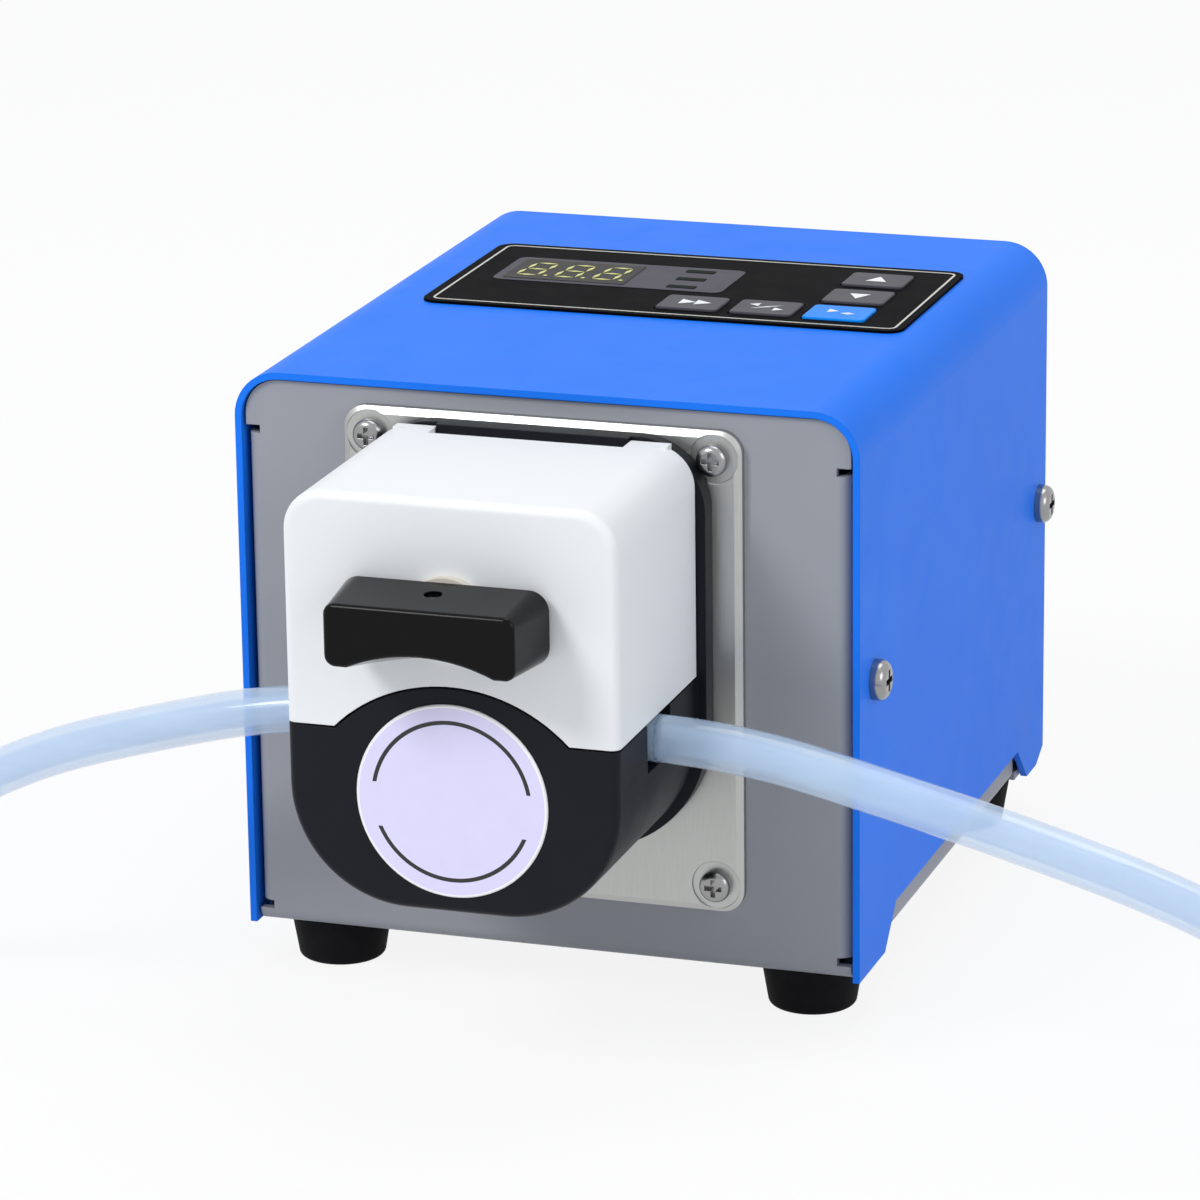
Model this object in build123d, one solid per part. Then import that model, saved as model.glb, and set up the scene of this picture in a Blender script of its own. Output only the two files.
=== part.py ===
"""Benchtop peristaltic pump: a roller pump head with a lifting jaw on a small drive unit.

Drawn in millimetres with +Z up. The head faces -Y. While a piece is drawn, y = 0 is the cover's
front edge and z = 0 is the cover's lower edge; `save` then moves it so that the feet stand on
z = 0 with the middle of the unit over the origin.
"""
from build123d import *
from math import atan2, cos, degrees, hypot, pi, radians, sin, sqrt, tan
import os

os.makedirs("parts", exist_ok=True)

# ---------------------------------------------------------------- general fits
RUNNING = 0.05          # radial clearance of a shaft or guide in its bore
SEAT = 0.02             # clearance of a fixed piece in its seat
GAP = 0.35              # clearance between mouldings that move past each other
SOFT_GAP = 0.3          # clearance round the tube

# ---------------------------------------------------------------- case
CASE_W = 110.0          # cover, across
CASE_H = 99.0           # cover, from its lower edge
CASE_D = 126.0          # cover, front edge to rear edge
COVER_SHEET = 1.2
COVER_BEND = 8.0        # outside radius of the two long bends
TAB_FRONT = 16.0        # width of the side's lower tabs
TAB_REAR = 12.0
CUTOUT_H = 7.0          # height of the long cut-out between the tabs
CORNER_CUT = (5.0, 2.4)  # cut off the sheet's lower rear corners, along and up

CHASSIS_SHEET = 1.5
CHASSIS_GAP = 0.5       # between the chassis flanges and the cover
FACE_RECESS = 0.8       # the front plate sits this far inside the cover's edge
FLANGE_DEPTH = 14.0     # side flanges of the front and rear plates
FLANGE_BELOW = 11.0     # where those flanges end, below the cover's top
BASE_FLANGE = 15.0      # upturned side flanges of the base
BEND_R = 2.5            # outside radius of the chassis bends
EAR_BELOW = 1.5         # top of the front and rear plates, below the cover's top
EAR_R = 6.0             # top corners of the front and rear plates
RELIEF = 1.4            # bend relief slit
VENT_W = 3.0
VENT_L = 26.0
VENT_PITCH = 7.0
VENT_COUNT = 5
REAR_VENT_Z = 72.0
BASE_VENT_Y = 42.0

FOOT_D = 18.0
FOOT_TIP_D = 15.0
FOOT_H = 9.0
FOOT_X = 43.0
FOOT_FRONT = 13.0       # foot centres from the cover's front and rear edges
FOOT_REAR = 14.0
FOOT_WELL_D = 8.0       # recess for the foot's screw
FOOT_WELL_H = 4.0
FOOT_SCREW_OUT = 3.5    # of the screw above the chassis base's underside

# ---------------------------------------------------------------- screws (head diameter, head height, shank)
M3 = (5.5, 2.2, 3.0)
M4 = (7.0, 2.6, 4.0)
M3_FLAT = (5.6, 1.5, 3.0)
SCREW_HOLE = 0.15       # radial clearance of a screw in a plain hole
SIDE_SCREW_Z = 51.0
SIDE_SCREW_INSET = 9.0  # front screw from the cover's front edge
SIDE_SCREW_REAR = 5.2   # rear screw from the cover's rear edge
SIDE_SCREW_L = 6.0

# ---------------------------------------------------------------- adaptor plate
PLATE_EDGE = 4.8        # from its screws to its sides, top and bottom
PLATE_BELOW = 4.3       # its top below the cover's top
PLATE_T = 2.0
PLATE_R = 4.0
PLATE_BEVEL = 1.2
PLATE_BEVEL_T = 0.7
PLATE_BOTTOM = 10.7
PLATE_SCREW_OUT = 1.8   # its screws beyond the head's sides
PLATE_SCREW_CLEAR = 2.0  # and at least this far beyond the motor's
DIMPLE_D = 8.4
DIMPLE_T = 0.35
PLATE_SCREW_L = 5.0
HEAD_SCREWS = ((12.0, 45.4), (20.0, -9.6))   # half spacing of each pair, height over the rotor axis
HEAD_SCREW_L = 5.6

# ---------------------------------------------------------------- control panel
PANEL_X0, PANEL_X1 = -41.0, 47.0
PANEL_Y0, PANEL_Y1 = 53.2, 98.4
PANEL_T = 0.5
PANEL_R = 3.0
WINDOW_X0, WINDOW_X1 = -32.4, -9.5     # three-digit display
WINDOW_Y0, WINDOW_Y1 = 72.9, 87.0
DISPLAY_H = 7.2
LAMP_X0, LAMP_X1 = -1.7, 3.7           # indicator bars
LAMP_Y = (74.2, 80.0, 85.8)
LAMP_W = 2.0
KEY_W = 11.3
KEY_D = 9.4
KEY_R = 1.0
KEY_PROUD = 0.35        # above the panel film
KEY_TRAVEL = 0.3
KEY_FIT = 0.15
KEY_FLANGE = 0.8        # hidden rim that keeps a key in its opening
KEY_FLANGE_T = 0.8
KEY_SEAT = 0.1          # rim below the sheet when the key is up
SWITCH_W = 6.0
SWITCH_H = 3.4
PLUNGER_D = 3.0
KEYS = {"key_up": (33.5, 87.5), "key_down": (33.5, 74.8), "key_run": (33.5, 62.6),
        "key_direction": (20.2, 62.8), "key_prime": (6.7, 62.8)}
BOARD_T = 1.6
BOARD_MARGIN = 2.0
STANDOFF_D = 4.0
STANDOFF_INSET = 2.5
STEM_L = 2.0
STEM_GAP = 0.1          # left between stem and switch when a key is fully down

# ---------------------------------------------------------------- drive
MOTOR_W = 56.4
MOTOR_L = 56.0
MOTOR_CAP = 9.0         # end bells at both ends of the stack
MOTOR_CORNER = 5.0
STACK_INSET = 0.6
MOTOR_SHAFT_IN = 1.0    # shaft beyond the front bell, inside the stack
COUPLING_L = 3.0        # tongue that drives the rotor shaft
MOTOR_PILOT_D = 38.1
MOTOR_PILOT_T = 1.4
MOTOR_HOLE = 47.14      # square pitch of the motor's screws
MOTOR_SCREW_L = 6.0
MOTOR_SHAFT_D = 6.35
MOTOR_SHAFT_OUT = 4.5   # shoulder of its tongue beyond the motor's face
POWER_BOARD_W = 84.0
POWER_BOARD_D = 46.0
POWER_BOARD_REAR = 8.0  # board's rear edge from the rear plate
PILLAR_H = 6.0
PILLAR_D = 6.0
TRANSFORMER = (30.0, 24.0, 26.0)
CAPACITOR_D = 12.5
CAPACITOR_H = 20.0
CAPACITOR_X = (12.0, 28.0)
SOCKET_W = 27.0         # mains inlet body
SOCKET_H = 19.6
SOCKET_WELL_W = 24.0
SOCKET_WELL_H = 16.4
SOCKET_WELL = 15.0
SOCKET_FLANGE = 2.4
SOCKET_L = 20.0
SOCKET_X, SOCKET_Z = -32.0, 30.0
PIN_OUT = 9.0
SOCKET_LIP = 2.0
WELL_CUT = 4.0          # sloping lower corners of the well
ROCKER_X = 0.0
ROCKER_W = 13.0
ROCKER_H = 19.0
ROCKER_FRAME = 1.5
ROCKER_L = 16.0
ROCKER_TILT = 7.0       # each side of level
ROCKER_WELL = 8.0
ROCKER_EDGE = 1.2
ROCKER_BACK = 3.0
ROCKER_SINK = 2.2       # pivot inside the rear plate's face
ROCKER_PIN_D = 2.4
ROCKER_PIN_L = 1.0      # each stub pin beyond the rocker's side
SWITCH_BODY_W = 15.6
SWITCH_BODY_H = 21.0
PORT_X = 31.0
PORT_W, PORT_H = 39.0, 12.6
PORT_SHELL_W, PORT_SHELL_H = 25.0, 8.4
PORT_OUT = 5.6
PORT_IN = 6.0
PORT_SHEET = 0.8
PORT_POST = 2.5

# ---------------------------------------------------------------- pump head
AXIS_BELOW = 56.4       # rotor axis below the cover's top
HEAD_W = 56.8
HEAD_FRONT = -47.0      # front face of head and jaw
BODY_DROP = 19.4        # rotor axis to the underside
BODY_R = 20.0           # its large lower corners
SPLIT = 11.0            # jaw's lower edge above the rotor axis
JAW_TOP = 50.4          # jaw's top above the rotor axis
JAW_R = 7.0
SOFT_EDGE = 1.6         # rounding of the jaw's front edges
ARCH_R = 28.0           # arch of the front wall, struck from below the axis
ARCH_DROP = 9.0
BACK_T = 4.0            # back plate
BACK_LIP = 1.6          # it stands proud of the body by this much
BACK_TOP = 51.0
BACK_TOP_R = 12.0
FRONT_WALL = 4.0
LABEL_D = 32.8
LABEL_T = 1.2
LABEL_PROUD = 0.4

# rotor
TUBE_OD = 8.0
TUBE_ID = 4.8
SQUEEZE = 0.9           # squeezed tube over twice its wall
ORBIT_R = 16.2          # outside of the rollers' path
PITCH_R = 12.2          # roller axles
ROLLERS = 4
ROLLER_D = 8.0
ROLLER_L = 13.6
AXLE_D = 3.0
CHEEK_R = 14.8
CHEEK_T = 2.2
CHEEK_SIDE = 0.25       # roller's end play at each end
SHAFT_D = 8.0
BEARING_D = 16.0
BEARING_T = 5.0
BEARING_WALL = 2.5      # boss round the front bearing
BEARING_OUT = 4.4       # boss behind the front wall
BEARING_IN = 0.6        # bearing let into the front wall
REAR_BEARING_Y = -9.2   # front of the rear bearing
SHAFT_SET = 0.4         # shaft's end behind the front bearing's face
ROLLER_START = 0.0      # first roller's angle about the axis
ROLLER_EDGE = 0.4
SHAFT_TONGUE = 2.4
HUB_D = 13.0
CHAMBER_R = 17.3
CHAMBER_REAR = -15.5    # rear wall of the rotor chamber
TUBE_Y = -26.0          # middle plane of tube and rollers
SLOT_W = 12.2           # tube slots in the body's sides
SLOT_FLOOR = 2.4        # slot floor above the rotor axis
NOSE_ANGLE = 125.0      # where the lead-in meets the pressing face
TUBE_WIDE = 11.3        # squeezed tube, across
STATIONS = ((0.0, 8.0), (10.0, 8.0), (15.0, 6.8), (20.0, 4.9), (27.5, 2.9), (35.0, 2.28))
BORE_LEAST = 0.05

# jaw, its guides and its cam
LIFT = 9.0
KNOB_UP = 31.0          # knob axis above the rotor axis
GUIDE_D = 5.0
GUIDE_X = 22.8
GUIDE_Y = -11.5
GUIDE_OUT = 24.0
GUIDE_IN = 10.0
GUIDE_TIP = 0.8
GUIDE_ROOM = 1.5        # free depth above a guide pin
TONGUE_X = 20.5
TONGUE_W = 7.0
TONGUE_T = 1.4
TONGUE_GAP = 0.2
TONGUE_FOOT = 13.0      # its lower end above the rotor axis
BED_SIDE = 2.5          # jaw wall at each side of its bed
BED_WALL = 4.0          # of the bed over its pressing face
CAM_R = 16.5
CAM_T = 5.4
CAM_WEB = 2.0
CAM_START = 4.0         # groove's first radius
GROOVE_FIT = 0.12
FOLLOWER_D = 4.0
FOLLOWER_OUT = 4.0
CAM_HUB_D = 14.0
CAM_HUB_L = 3.5
CAM_REAR = -6.2         # rear face of the cam
CAM_ROOM = 0.6          # clearance round it in the jaw
GROOVE_STEPS = 24
TOP_STEP = (3.0, 1.2)   # shallow step between the two tongues, depth and height
CROSS_PIN_D = 2.0
KNOB_SHAFT_D = 8.0
BUSH_D = 12.0
BUSH_FLANGE_D = 14.0
BUSH_FLANGE = 1.5
BUSH_L = 10.0

# knob
KNOB_FRONT_W = 32.0
KNOB_REAR_W = 35.4
KNOB_FRONT_H = 10.4
KNOB_REAR_H = 12.6
KNOB_L = 12.6
KNOB_HOLLOW = 2.8       # rise of the curved lower edge
KNOB_EDGE = 0.8
KNOB_R = (1.8, 3.4)     # corners of the bar, front and rear
HOLLOW_R = 31.6
GRUB_AT = 0.4           # set screw, part of the knob's depth from its rear
KNOB_SINK = 9.8         # depth of the shaft's bore
SPIGOT_D = 5.0          # turned-down end of the shaft inside the knob
GRUB_D = 3.0
GRUB_L = 2.6

# ---------------------------------------------------------------- hose: (x, z) in the tube's plane
BEND_SHARE = 0.45       # of the shorter run next to a bend
HOSE_RIGHT = ((28.6, 49.3), (42, 49), (66, 43.6), (92, 37), (116, 29.9), (140, 19), (162, 4.5), (188, -5),
              (208, -5))
HOSE_LEFT = ((-28.8, 49.3), (-40, 48.4), (-60, 43.2), (-80, 37.2), (-98, 28.2), (-116, 16.5), (-136, 5),
             (-158, -5), (-178, -5))

# ---------------------------------------------------------------- worked out from these
AXIS_Z = CASE_H - AXIS_BELOW                        # rotor axis
PLATE_FACE = FACE_RECESS - PLATE_T                  # front of the adaptor plate
FRONT_INNER = FACE_RECESS + CHASSIS_SHEET           # rear of the chassis front plate
BACK_FACE = PLATE_FACE - BACK_T                     # front of the head's back plate
JAW_REAR = BACK_FACE - GAP
KNOB_Z = AXIS_Z + KNOB_UP
REAR_FACE = CASE_D - FACE_RECESS                    # outside of the chassis rear plate
KNOB_REAR = HEAD_FRONT - BUSH_FLANGE - 0.3
KNOB_FRONT = KNOB_REAR - KNOB_L
REAR_INNER = REAR_FACE - CHASSIS_SHEET
REAR_MOST = REAR_FACE + PORT_OUT
TOP_INNER = CASE_H - COVER_SHEET
FLANGE_TOP = CASE_H - FLANGE_BELOW
EAR_TOP = CASE_H - EAR_BELOW
PLATE_SCREW_X = max(HEAD_W / 2 + PLATE_SCREW_OUT, MOTOR_W / 2 + PLATE_SCREW_CLEAR)
PLATE_W = 2 * (PLATE_SCREW_X + PLATE_EDGE)
PLATE_H = CASE_H - PLATE_BELOW - PLATE_BOTTOM
PLATE_MID = PLATE_BOTTOM + PLATE_H / 2
PLATE_SCREW_Z = PLATE_H / 2 - PLATE_EDGE            # screw rows above and below the plate's middle
BED_R = ORBIT_R + SQUEEZE * (TUBE_OD - TUBE_ID)     # pressing face of the jaw
ROTOR_HALF = ROLLER_L / 2 + CHEEK_SIDE
MOTOR_REAR = FRONT_INNER + MOTOR_L
TO_FRAME = Pos(0, -(KNOB_FRONT + REAR_MOST) / 2, FOOT_H)

nodes = {}


def save(name, shape):
    """Keep a piece under its name, moved into the unit's own frame."""
    nodes[name] = TO_FRAME * shape


def slab(profile, rear, front):
    """A profile drawn in the front view (x, z), carried forward from rear to front."""
    return extrude(Plane.XZ.offset(-rear) * profile, amount=rear - front)


def rod(x, z, diameter, rear, front):
    return slab(Pos(x, z) * Circle(diameter / 2), rear, front)


def upright(x, y, diameter, low, high):
    return Pos(x, y, low) * Cylinder(diameter / 2, high - low, align=(Align.CENTER, Align.CENTER, Align.MIN))


def block(x0, x1, y0, y1, z0, z1):
    return Pos((x0 + x1) / 2, (y0 + y1) / 2, (z0 + z1) / 2) * Box(x1 - x0, y1 - y0, z1 - z0)


def outline(width, low, high, low_r, high_r):
    """A front-view rectangle on the centre line with its own lower and upper corner radii."""
    half = width / 2
    face = make_face(Polyline((-half, low), (half, low), (half, high), (-half, high), close=True))
    corners = face.vertices().group_by(Axis.Y)
    if low_r:
        face = fillet(corners[0], low_r)
        corners = face.vertices().group_by(Axis.Y)
    if high_r:
        face = fillet(corners[-1], high_r)
    return face


def pan_screw(size, length):
    """A cross-recess pan-head screw along +Z: head's underside at z = 0, shank going down."""
    head_d, head_h, shank_d = size
    dome = Cylinder(head_d / 2, head_h, align=(Align.CENTER, Align.CENTER, Align.MIN))
    dome = fillet(dome.edges().sort_by(Axis.Z)[-1], head_h * 0.6)
    cross = Box(head_d * 0.55, head_d * 0.15, head_h) + Box(head_d * 0.15, head_d * 0.55, head_h)
    shank = Pos(0, 0, -length / 2) * Cylinder(shank_d / 2, length)
    return dome + shank - Pos(0, 0, head_h) * cross


def flat_screw(size, length, slack=0.0):
    """A countersunk screw along +Z with its face at z = 0; slack makes the matching hole."""
    head_d, head_h, shank_d = size
    cone = Pos(0, 0, -head_h / 2) * Cone(shank_d / 2 + slack, head_d / 2 + slack, head_h)
    shank = Pos(0, 0, -length / 2) * Cylinder(shank_d / 2 + slack, length)
    socket = Box(head_d * 0.5, head_d * 0.14, head_h) + Box(head_d * 0.14, head_d * 0.5, head_h)
    return cone + shank if slack else cone + shank - socket


def facing(x, y, z, turn, shape):
    return Pos(x, y, z) * turn * shape


TO_FRONT = Rot(90, 0, 0)
TO_REAR = Rot(-90, 0, 0)
TO_FLOOR = Rot(180, 0, 0)

# ================================================================ case
chassis_x = CASE_W / 2 - COVER_SHEET - CHASSIS_GAP
side_screw_y = (SIDE_SCREW_INSET, CASE_D - SIDE_SCREW_REAR)
foot_spots = [(x, y) for x in (-FOOT_X, FOOT_X) for y in (FOOT_FRONT, CASE_D - FOOT_REAR)]
plate_spots = [(x, PLATE_MID + z) for x in (-PLATE_SCREW_X, PLATE_SCREW_X)
               for z in (-PLATE_SCREW_Z, PLATE_SCREW_Z)]
motor_spots = [(x, AXIS_Z + z) for x in (-MOTOR_HOLE / 2, MOTOR_HOLE / 2)
               for z in (-MOTOR_HOLE / 2, MOTOR_HOLE / 2)]
head_spots = [(x, AXIS_Z + up) for half, up in HEAD_SCREWS for x in (-half, half)]


def side_cut(points, reach):
    """Remove-shape drawn in the side view (y, z), running through both sides."""
    return extrude(Plane.YZ * make_face(Polyline(*points, close=True)), amount=reach, both=True)


sheet = outline(CASE_W, 0, CASE_H, 0, COVER_BEND)
sheet -= outline(CASE_W - 2 * COVER_SHEET, -COVER_SHEET, TOP_INNER, 0, COVER_BEND - COVER_SHEET)
cover = slab(sheet, CASE_D, 0)
cover -= side_cut([(TAB_FRONT, -1), (TAB_FRONT, 0), (TAB_FRONT + CUTOUT_H, CUTOUT_H),
                   (CASE_D - TAB_REAR - CUTOUT_H, CUTOUT_H), (CASE_D - TAB_REAR, 0),
                   (CASE_D - TAB_REAR, -1)], CASE_W)
cover -= side_cut([(CASE_D - CORNER_CUT[0], 0), (CASE_D, CORNER_CUT[1]), (CASE_D + 1, CORNER_CUT[1]),
                   (CASE_D + 1, -1), (CASE_D - CORNER_CUT[0], -1)], CASE_W)
for y in side_screw_y:
    cover -= facing(0, y, SIDE_SCREW_Z, Rot(0, 90, 0), Cylinder(M4[2] / 2 + SCREW_HOLE, 2 * CASE_W))


def top_opening(x0, x1, y0, y1, fit):
    return block(x0 - fit, x1 + fit, y0 - fit, y1 + fit, TOP_INNER - 1, CASE_H + 1)


cover -= top_opening(WINDOW_X0, WINDOW_X1, WINDOW_Y0, WINDOW_Y1, 0)
cover -= [top_opening(LAMP_X0, LAMP_X1, y - LAMP_W / 2, y + LAMP_W / 2, 0) for y in LAMP_Y]
key_holes = [Pos(x, y, CASE_H) * Box(KEY_W + 2 * KEY_FIT, KEY_D + 2 * KEY_FIT, 4 * COVER_SHEET)
             for x, y in KEYS.values()]
cover -= key_holes
save("cover", cover)
save("cover_screws", Compound([facing(side * CASE_W / 2, y, SIDE_SCREW_Z, Rot(0, side * 90, 0),
                                      pan_screw(M4, SIDE_SCREW_L))
                               for side in (-1, 1) for y in side_screw_y]))

tray = make_face(Polyline((FACE_RECESS, 0), (REAR_FACE, 0), (REAR_FACE, EAR_TOP), (FACE_RECESS, EAR_TOP),
                          close=True))
tray = fillet(tray.vertices().group_by(Axis.Y)[0], BEND_R)
well = make_face(Polyline((FRONT_INNER, CHASSIS_SHEET), (REAR_INNER, CHASSIS_SHEET),
                          (REAR_INNER, CASE_H), (FRONT_INNER, CASE_H), close=True))
well = fillet(well.vertices().group_by(Axis.Y)[0], BEND_R - CHASSIS_SHEET)
chassis = extrude(Plane.YZ * (tray - well), amount=chassis_x, both=True)
chassis &= slab(outline(2 * chassis_x, 0, EAR_TOP, 0, EAR_R), CASE_D, 0)


def folded(width, depth, height):
    """Plan of a channel: a wall across with two side flanges, bent at the front corners."""
    half = width / 2
    outer = make_face(Polyline((-half, 0), (half, 0), (half, depth), (-half, depth), close=True))
    outer = fillet(outer.vertices().group_by(Axis.Y)[0], BEND_R)
    inner = make_face(Polyline((-half + CHASSIS_SHEET, CHASSIS_SHEET), (half - CHASSIS_SHEET, CHASSIS_SHEET),
                               (half - CHASSIS_SHEET, depth + 1), (-half + CHASSIS_SHEET, depth + 1),
                               close=True))
    inner = fillet(inner.vertices().group_by(Axis.Y)[0], BEND_R - CHASSIS_SHEET)
    return extrude(outer - inner, amount=height)


flange_low = BEND_R + RELIEF
base_y0 = FACE_RECESS + FLANGE_DEPTH + RELIEF
base_y1 = REAR_FACE - FLANGE_DEPTH - RELIEF
for side in (-1, 1):
    x0, x1 = sorted((side * (chassis_x - BEND_R), side * (chassis_x + 1)))
    chassis -= block(x0, x1, -1, FRONT_INNER + 1, BEND_R, FLANGE_TOP + RELIEF)
    chassis -= block(x0, x1, REAR_INNER - 1, CASE_D + 1, BEND_R, FLANGE_TOP + RELIEF)
    chassis -= block(x0, x1, base_y0 - RELIEF, base_y1 + RELIEF, -1, CHASSIS_SHEET + 1)
channel = folded(2 * chassis_x, FLANGE_DEPTH, FLANGE_TOP - flange_low)
chassis += Pos(0, FACE_RECESS, flange_low) * channel
chassis += Pos(0, REAR_FACE, flange_low) * Rot(0, 0, 180) * channel
chassis += Pos(0, base_y1, 0) * Rot(90, 0, 0) * folded(2 * chassis_x, BASE_FLANGE, base_y1 - base_y0)
chassis -= rod(0, AXIS_Z, MOTOR_PILOT_D + 2 * SEAT, FRONT_INNER + 1, -1)
for x, z in motor_spots:
    chassis -= facing(x, FACE_RECESS, z, TO_FRONT, flat_screw(M3_FLAT, MOTOR_SCREW_L, SCREW_HOLE))
for x, z in plate_spots:
    chassis -= rod(x, z, M3[2] + 2 * SEAT, FRONT_INNER + 1, -1)
for y in side_screw_y:
    chassis -= facing(0, y, SIDE_SCREW_Z, Rot(0, 90, 0), Cylinder(M4[2] / 2 + SEAT, 2 * CASE_W))
for x, y in foot_spots:
    chassis -= upright(x, y, M4[2] + 2 * SEAT, -1, CHASSIS_SHEET + 1)
chassis -= block(SOCKET_X - SOCKET_W / 2 - SEAT, SOCKET_X + SOCKET_W / 2 + SEAT, REAR_INNER - 1, CASE_D,
                 SOCKET_Z - SOCKET_H / 2 - SEAT, SOCKET_Z + SOCKET_H / 2 + SEAT)
chassis -= block(ROCKER_X - SWITCH_BODY_W / 2 - SEAT, ROCKER_X + SWITCH_BODY_W / 2 + SEAT, REAR_INNER - 1,
                 CASE_D, SOCKET_Z - SWITCH_BODY_H / 2 - SEAT, SOCKET_Z + SWITCH_BODY_H / 2 + SEAT)
chassis -= block(PORT_X - PORT_SHELL_W / 2 - SEAT, PORT_X + PORT_SHELL_W / 2 + SEAT, REAR_INNER - 1, CASE_D,
                 SOCKET_Z - PORT_SHELL_H / 2 - SEAT, SOCKET_Z + PORT_SHELL_H / 2 + SEAT)
for step in range(VENT_COUNT):
    offset_x = (step - (VENT_COUNT - 1) / 2) * VENT_PITCH
    slot = SlotOverall(VENT_L, VENT_W, rotation=90)
    chassis -= slab(Pos(offset_x, REAR_VENT_Z) * slot, CASE_D, REAR_INNER - 1)
    chassis -= extrude(Pos(offset_x, BASE_VENT_Y, -1) * slot, amount=CHASSIS_SHEET + 2)
save("chassis", chassis)

foot = Pos(0, 0, -FOOT_H / 2) * Cone(FOOT_TIP_D / 2, FOOT_D / 2, FOOT_H)
foot = fillet(foot.edges().sort_by(Axis.Z)[0], 1.0)
foot -= Pos(0, 0, -FOOT_H) * Cylinder(FOOT_WELL_D / 2, 2 * FOOT_WELL_H)
foot -= Cylinder(M4[2] / 2 + SEAT, 3 * FOOT_H)
save("rubber_feet", Compound([Pos(x, y, 0) * foot for x, y in foot_spots]))
foot_screw = TO_FLOOR * pan_screw(M4, FOOT_H - FOOT_WELL_H + FOOT_SCREW_OUT)
save("foot_screws", Compound([Pos(x, y, FOOT_WELL_H - FOOT_H) * foot_screw for x, y in foot_spots]))

# ================================================================ adaptor plate
plate = slab(Pos(0, PLATE_MID) * RectangleRounded(PLATE_W, PLATE_H, PLATE_R), FACE_RECESS, PLATE_FACE)
plate = chamfer(plate.faces().sort_by(Axis.Y)[0].edges(), PLATE_BEVEL_T, PLATE_BEVEL)
for x, z in plate_spots:
    plate -= rod(x, z, DIMPLE_D, PLATE_FACE + DIMPLE_T, PLATE_FACE - 1)
    plate -= rod(x, z, M3[2] + 2 * SCREW_HOLE, FRONT_INNER, PLATE_FACE - 1)
for x, z in head_spots:
    plate -= facing(x, FACE_RECESS, z, TO_REAR, flat_screw(M3_FLAT, HEAD_SCREW_L, SCREW_HOLE))
plate -= rod(0, AXIS_Z, SHAFT_D + 2, FRONT_INNER, PLATE_FACE - 1)
save("adaptor_plate", plate)
save("adaptor_screws", Compound([facing(x, PLATE_FACE + DIMPLE_T, z, TO_FRONT, pan_screw(M3, PLATE_SCREW_L))
                                 for x, z in plate_spots]))

# ================================================================ control panel
film_w, film_d = PANEL_X1 - PANEL_X0, PANEL_Y1 - PANEL_Y0
film = extrude(Pos((PANEL_X0 + PANEL_X1) / 2, (PANEL_Y0 + PANEL_Y1) / 2, CASE_H)
               * RectangleRounded(film_w, film_d, PANEL_R), amount=PANEL_T)
film -= key_holes
save("panel_film", film)

key_top = CASE_H + PANEL_T + KEY_PROUD
rim_top = TOP_INNER - KEY_SEAT
stem_low = rim_top - KEY_FLANGE_T - STEM_L
board_top = stem_low - KEY_TRAVEL - STEM_GAP - SWITCH_H
for name, (x, y) in KEYS.items():
    cap = extrude(Pos(x, y, rim_top) * RectangleRounded(KEY_W, KEY_D, KEY_R), amount=key_top - rim_top)
    cap = fillet(cap.faces().sort_by(Axis.Z)[-1].edges(), KEY_PROUD * 0.8)
    rim = Pos(x, y, rim_top - KEY_FLANGE_T / 2) * Box(KEY_W + 2 * KEY_FLANGE, KEY_D + 2 * KEY_FLANGE,
                                                      KEY_FLANGE_T)
    save(name, cap + rim + upright(x, y, PLUNGER_D, stem_low, rim_top - KEY_FLANGE_T))

switches = []
for x, y in KEYS.values():
    body = Pos(x, y, board_top + SWITCH_H / 4) * Box(SWITCH_W, SWITCH_W, SWITCH_H / 2)
    switches.append(body + upright(x, y, PLUNGER_D, board_top, board_top + SWITCH_H))
save("key_switches", Compound(switches))

display = block(WINDOW_X0 + GAP, WINDOW_X1 - GAP, WINDOW_Y0 + GAP, WINDOW_Y1 - GAP, board_top,
                board_top + DISPLAY_H)
save("display_module", display)
lamps = [block(LAMP_X0 + GAP, LAMP_X1 - GAP, y - LAMP_W / 2 + GAP, y + LAMP_W / 2 - GAP, board_top,
               board_top + DISPLAY_H) for y in LAMP_Y]
save("indicator_lamps", Compound(lamps))
board_x = (PANEL_X0 + BOARD_MARGIN, PANEL_X1 - BOARD_MARGIN)
board_y = (PANEL_Y0 + BOARD_MARGIN, PANEL_Y1 - BOARD_MARGIN)
save("control_board", block(*board_x, *board_y, board_top - BOARD_T, board_top))
standoffs = [upright(x, y, STANDOFF_D, board_top, TOP_INNER)
             for x in (board_x[0] + STANDOFF_INSET, board_x[1] - STANDOFF_INSET)
             for y in (board_y[0] + STANDOFF_INSET, board_y[1] - STANDOFF_INSET)]
save("board_standoffs", Compound(standoffs))

# ================================================================ drive
bell = Pos(0, AXIS_Z) * RectangleRounded(MOTOR_W, MOTOR_W, MOTOR_CORNER)
stack = Pos(0, AXIS_Z) * RectangleRounded(MOTOR_W - 2 * STACK_INSET, MOTOR_W - 2 * STACK_INSET, MOTOR_CORNER)
front_bell = slab(bell, FRONT_INNER + MOTOR_CAP, FRONT_INNER)
front_bell += rod(0, AXIS_Z, MOTOR_PILOT_D, FRONT_INNER, FRONT_INNER - MOTOR_PILOT_T)
front_bell -= rod(0, AXIS_Z, MOTOR_SHAFT_D + 2 * GAP, FRONT_INNER + MOTOR_CAP, 0)
for x, z in motor_spots:
    front_bell -= rod(x, z, M3[2] + 2 * SEAT, FACE_RECESS + MOTOR_SCREW_L, 0)
rear_bell = slab(bell, MOTOR_REAR, MOTOR_REAR - MOTOR_CAP)
save("motor_bells", Compound([front_bell, rear_bell]))
core = slab(stack, MOTOR_REAR - MOTOR_CAP, FRONT_INNER + MOTOR_CAP)
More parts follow.
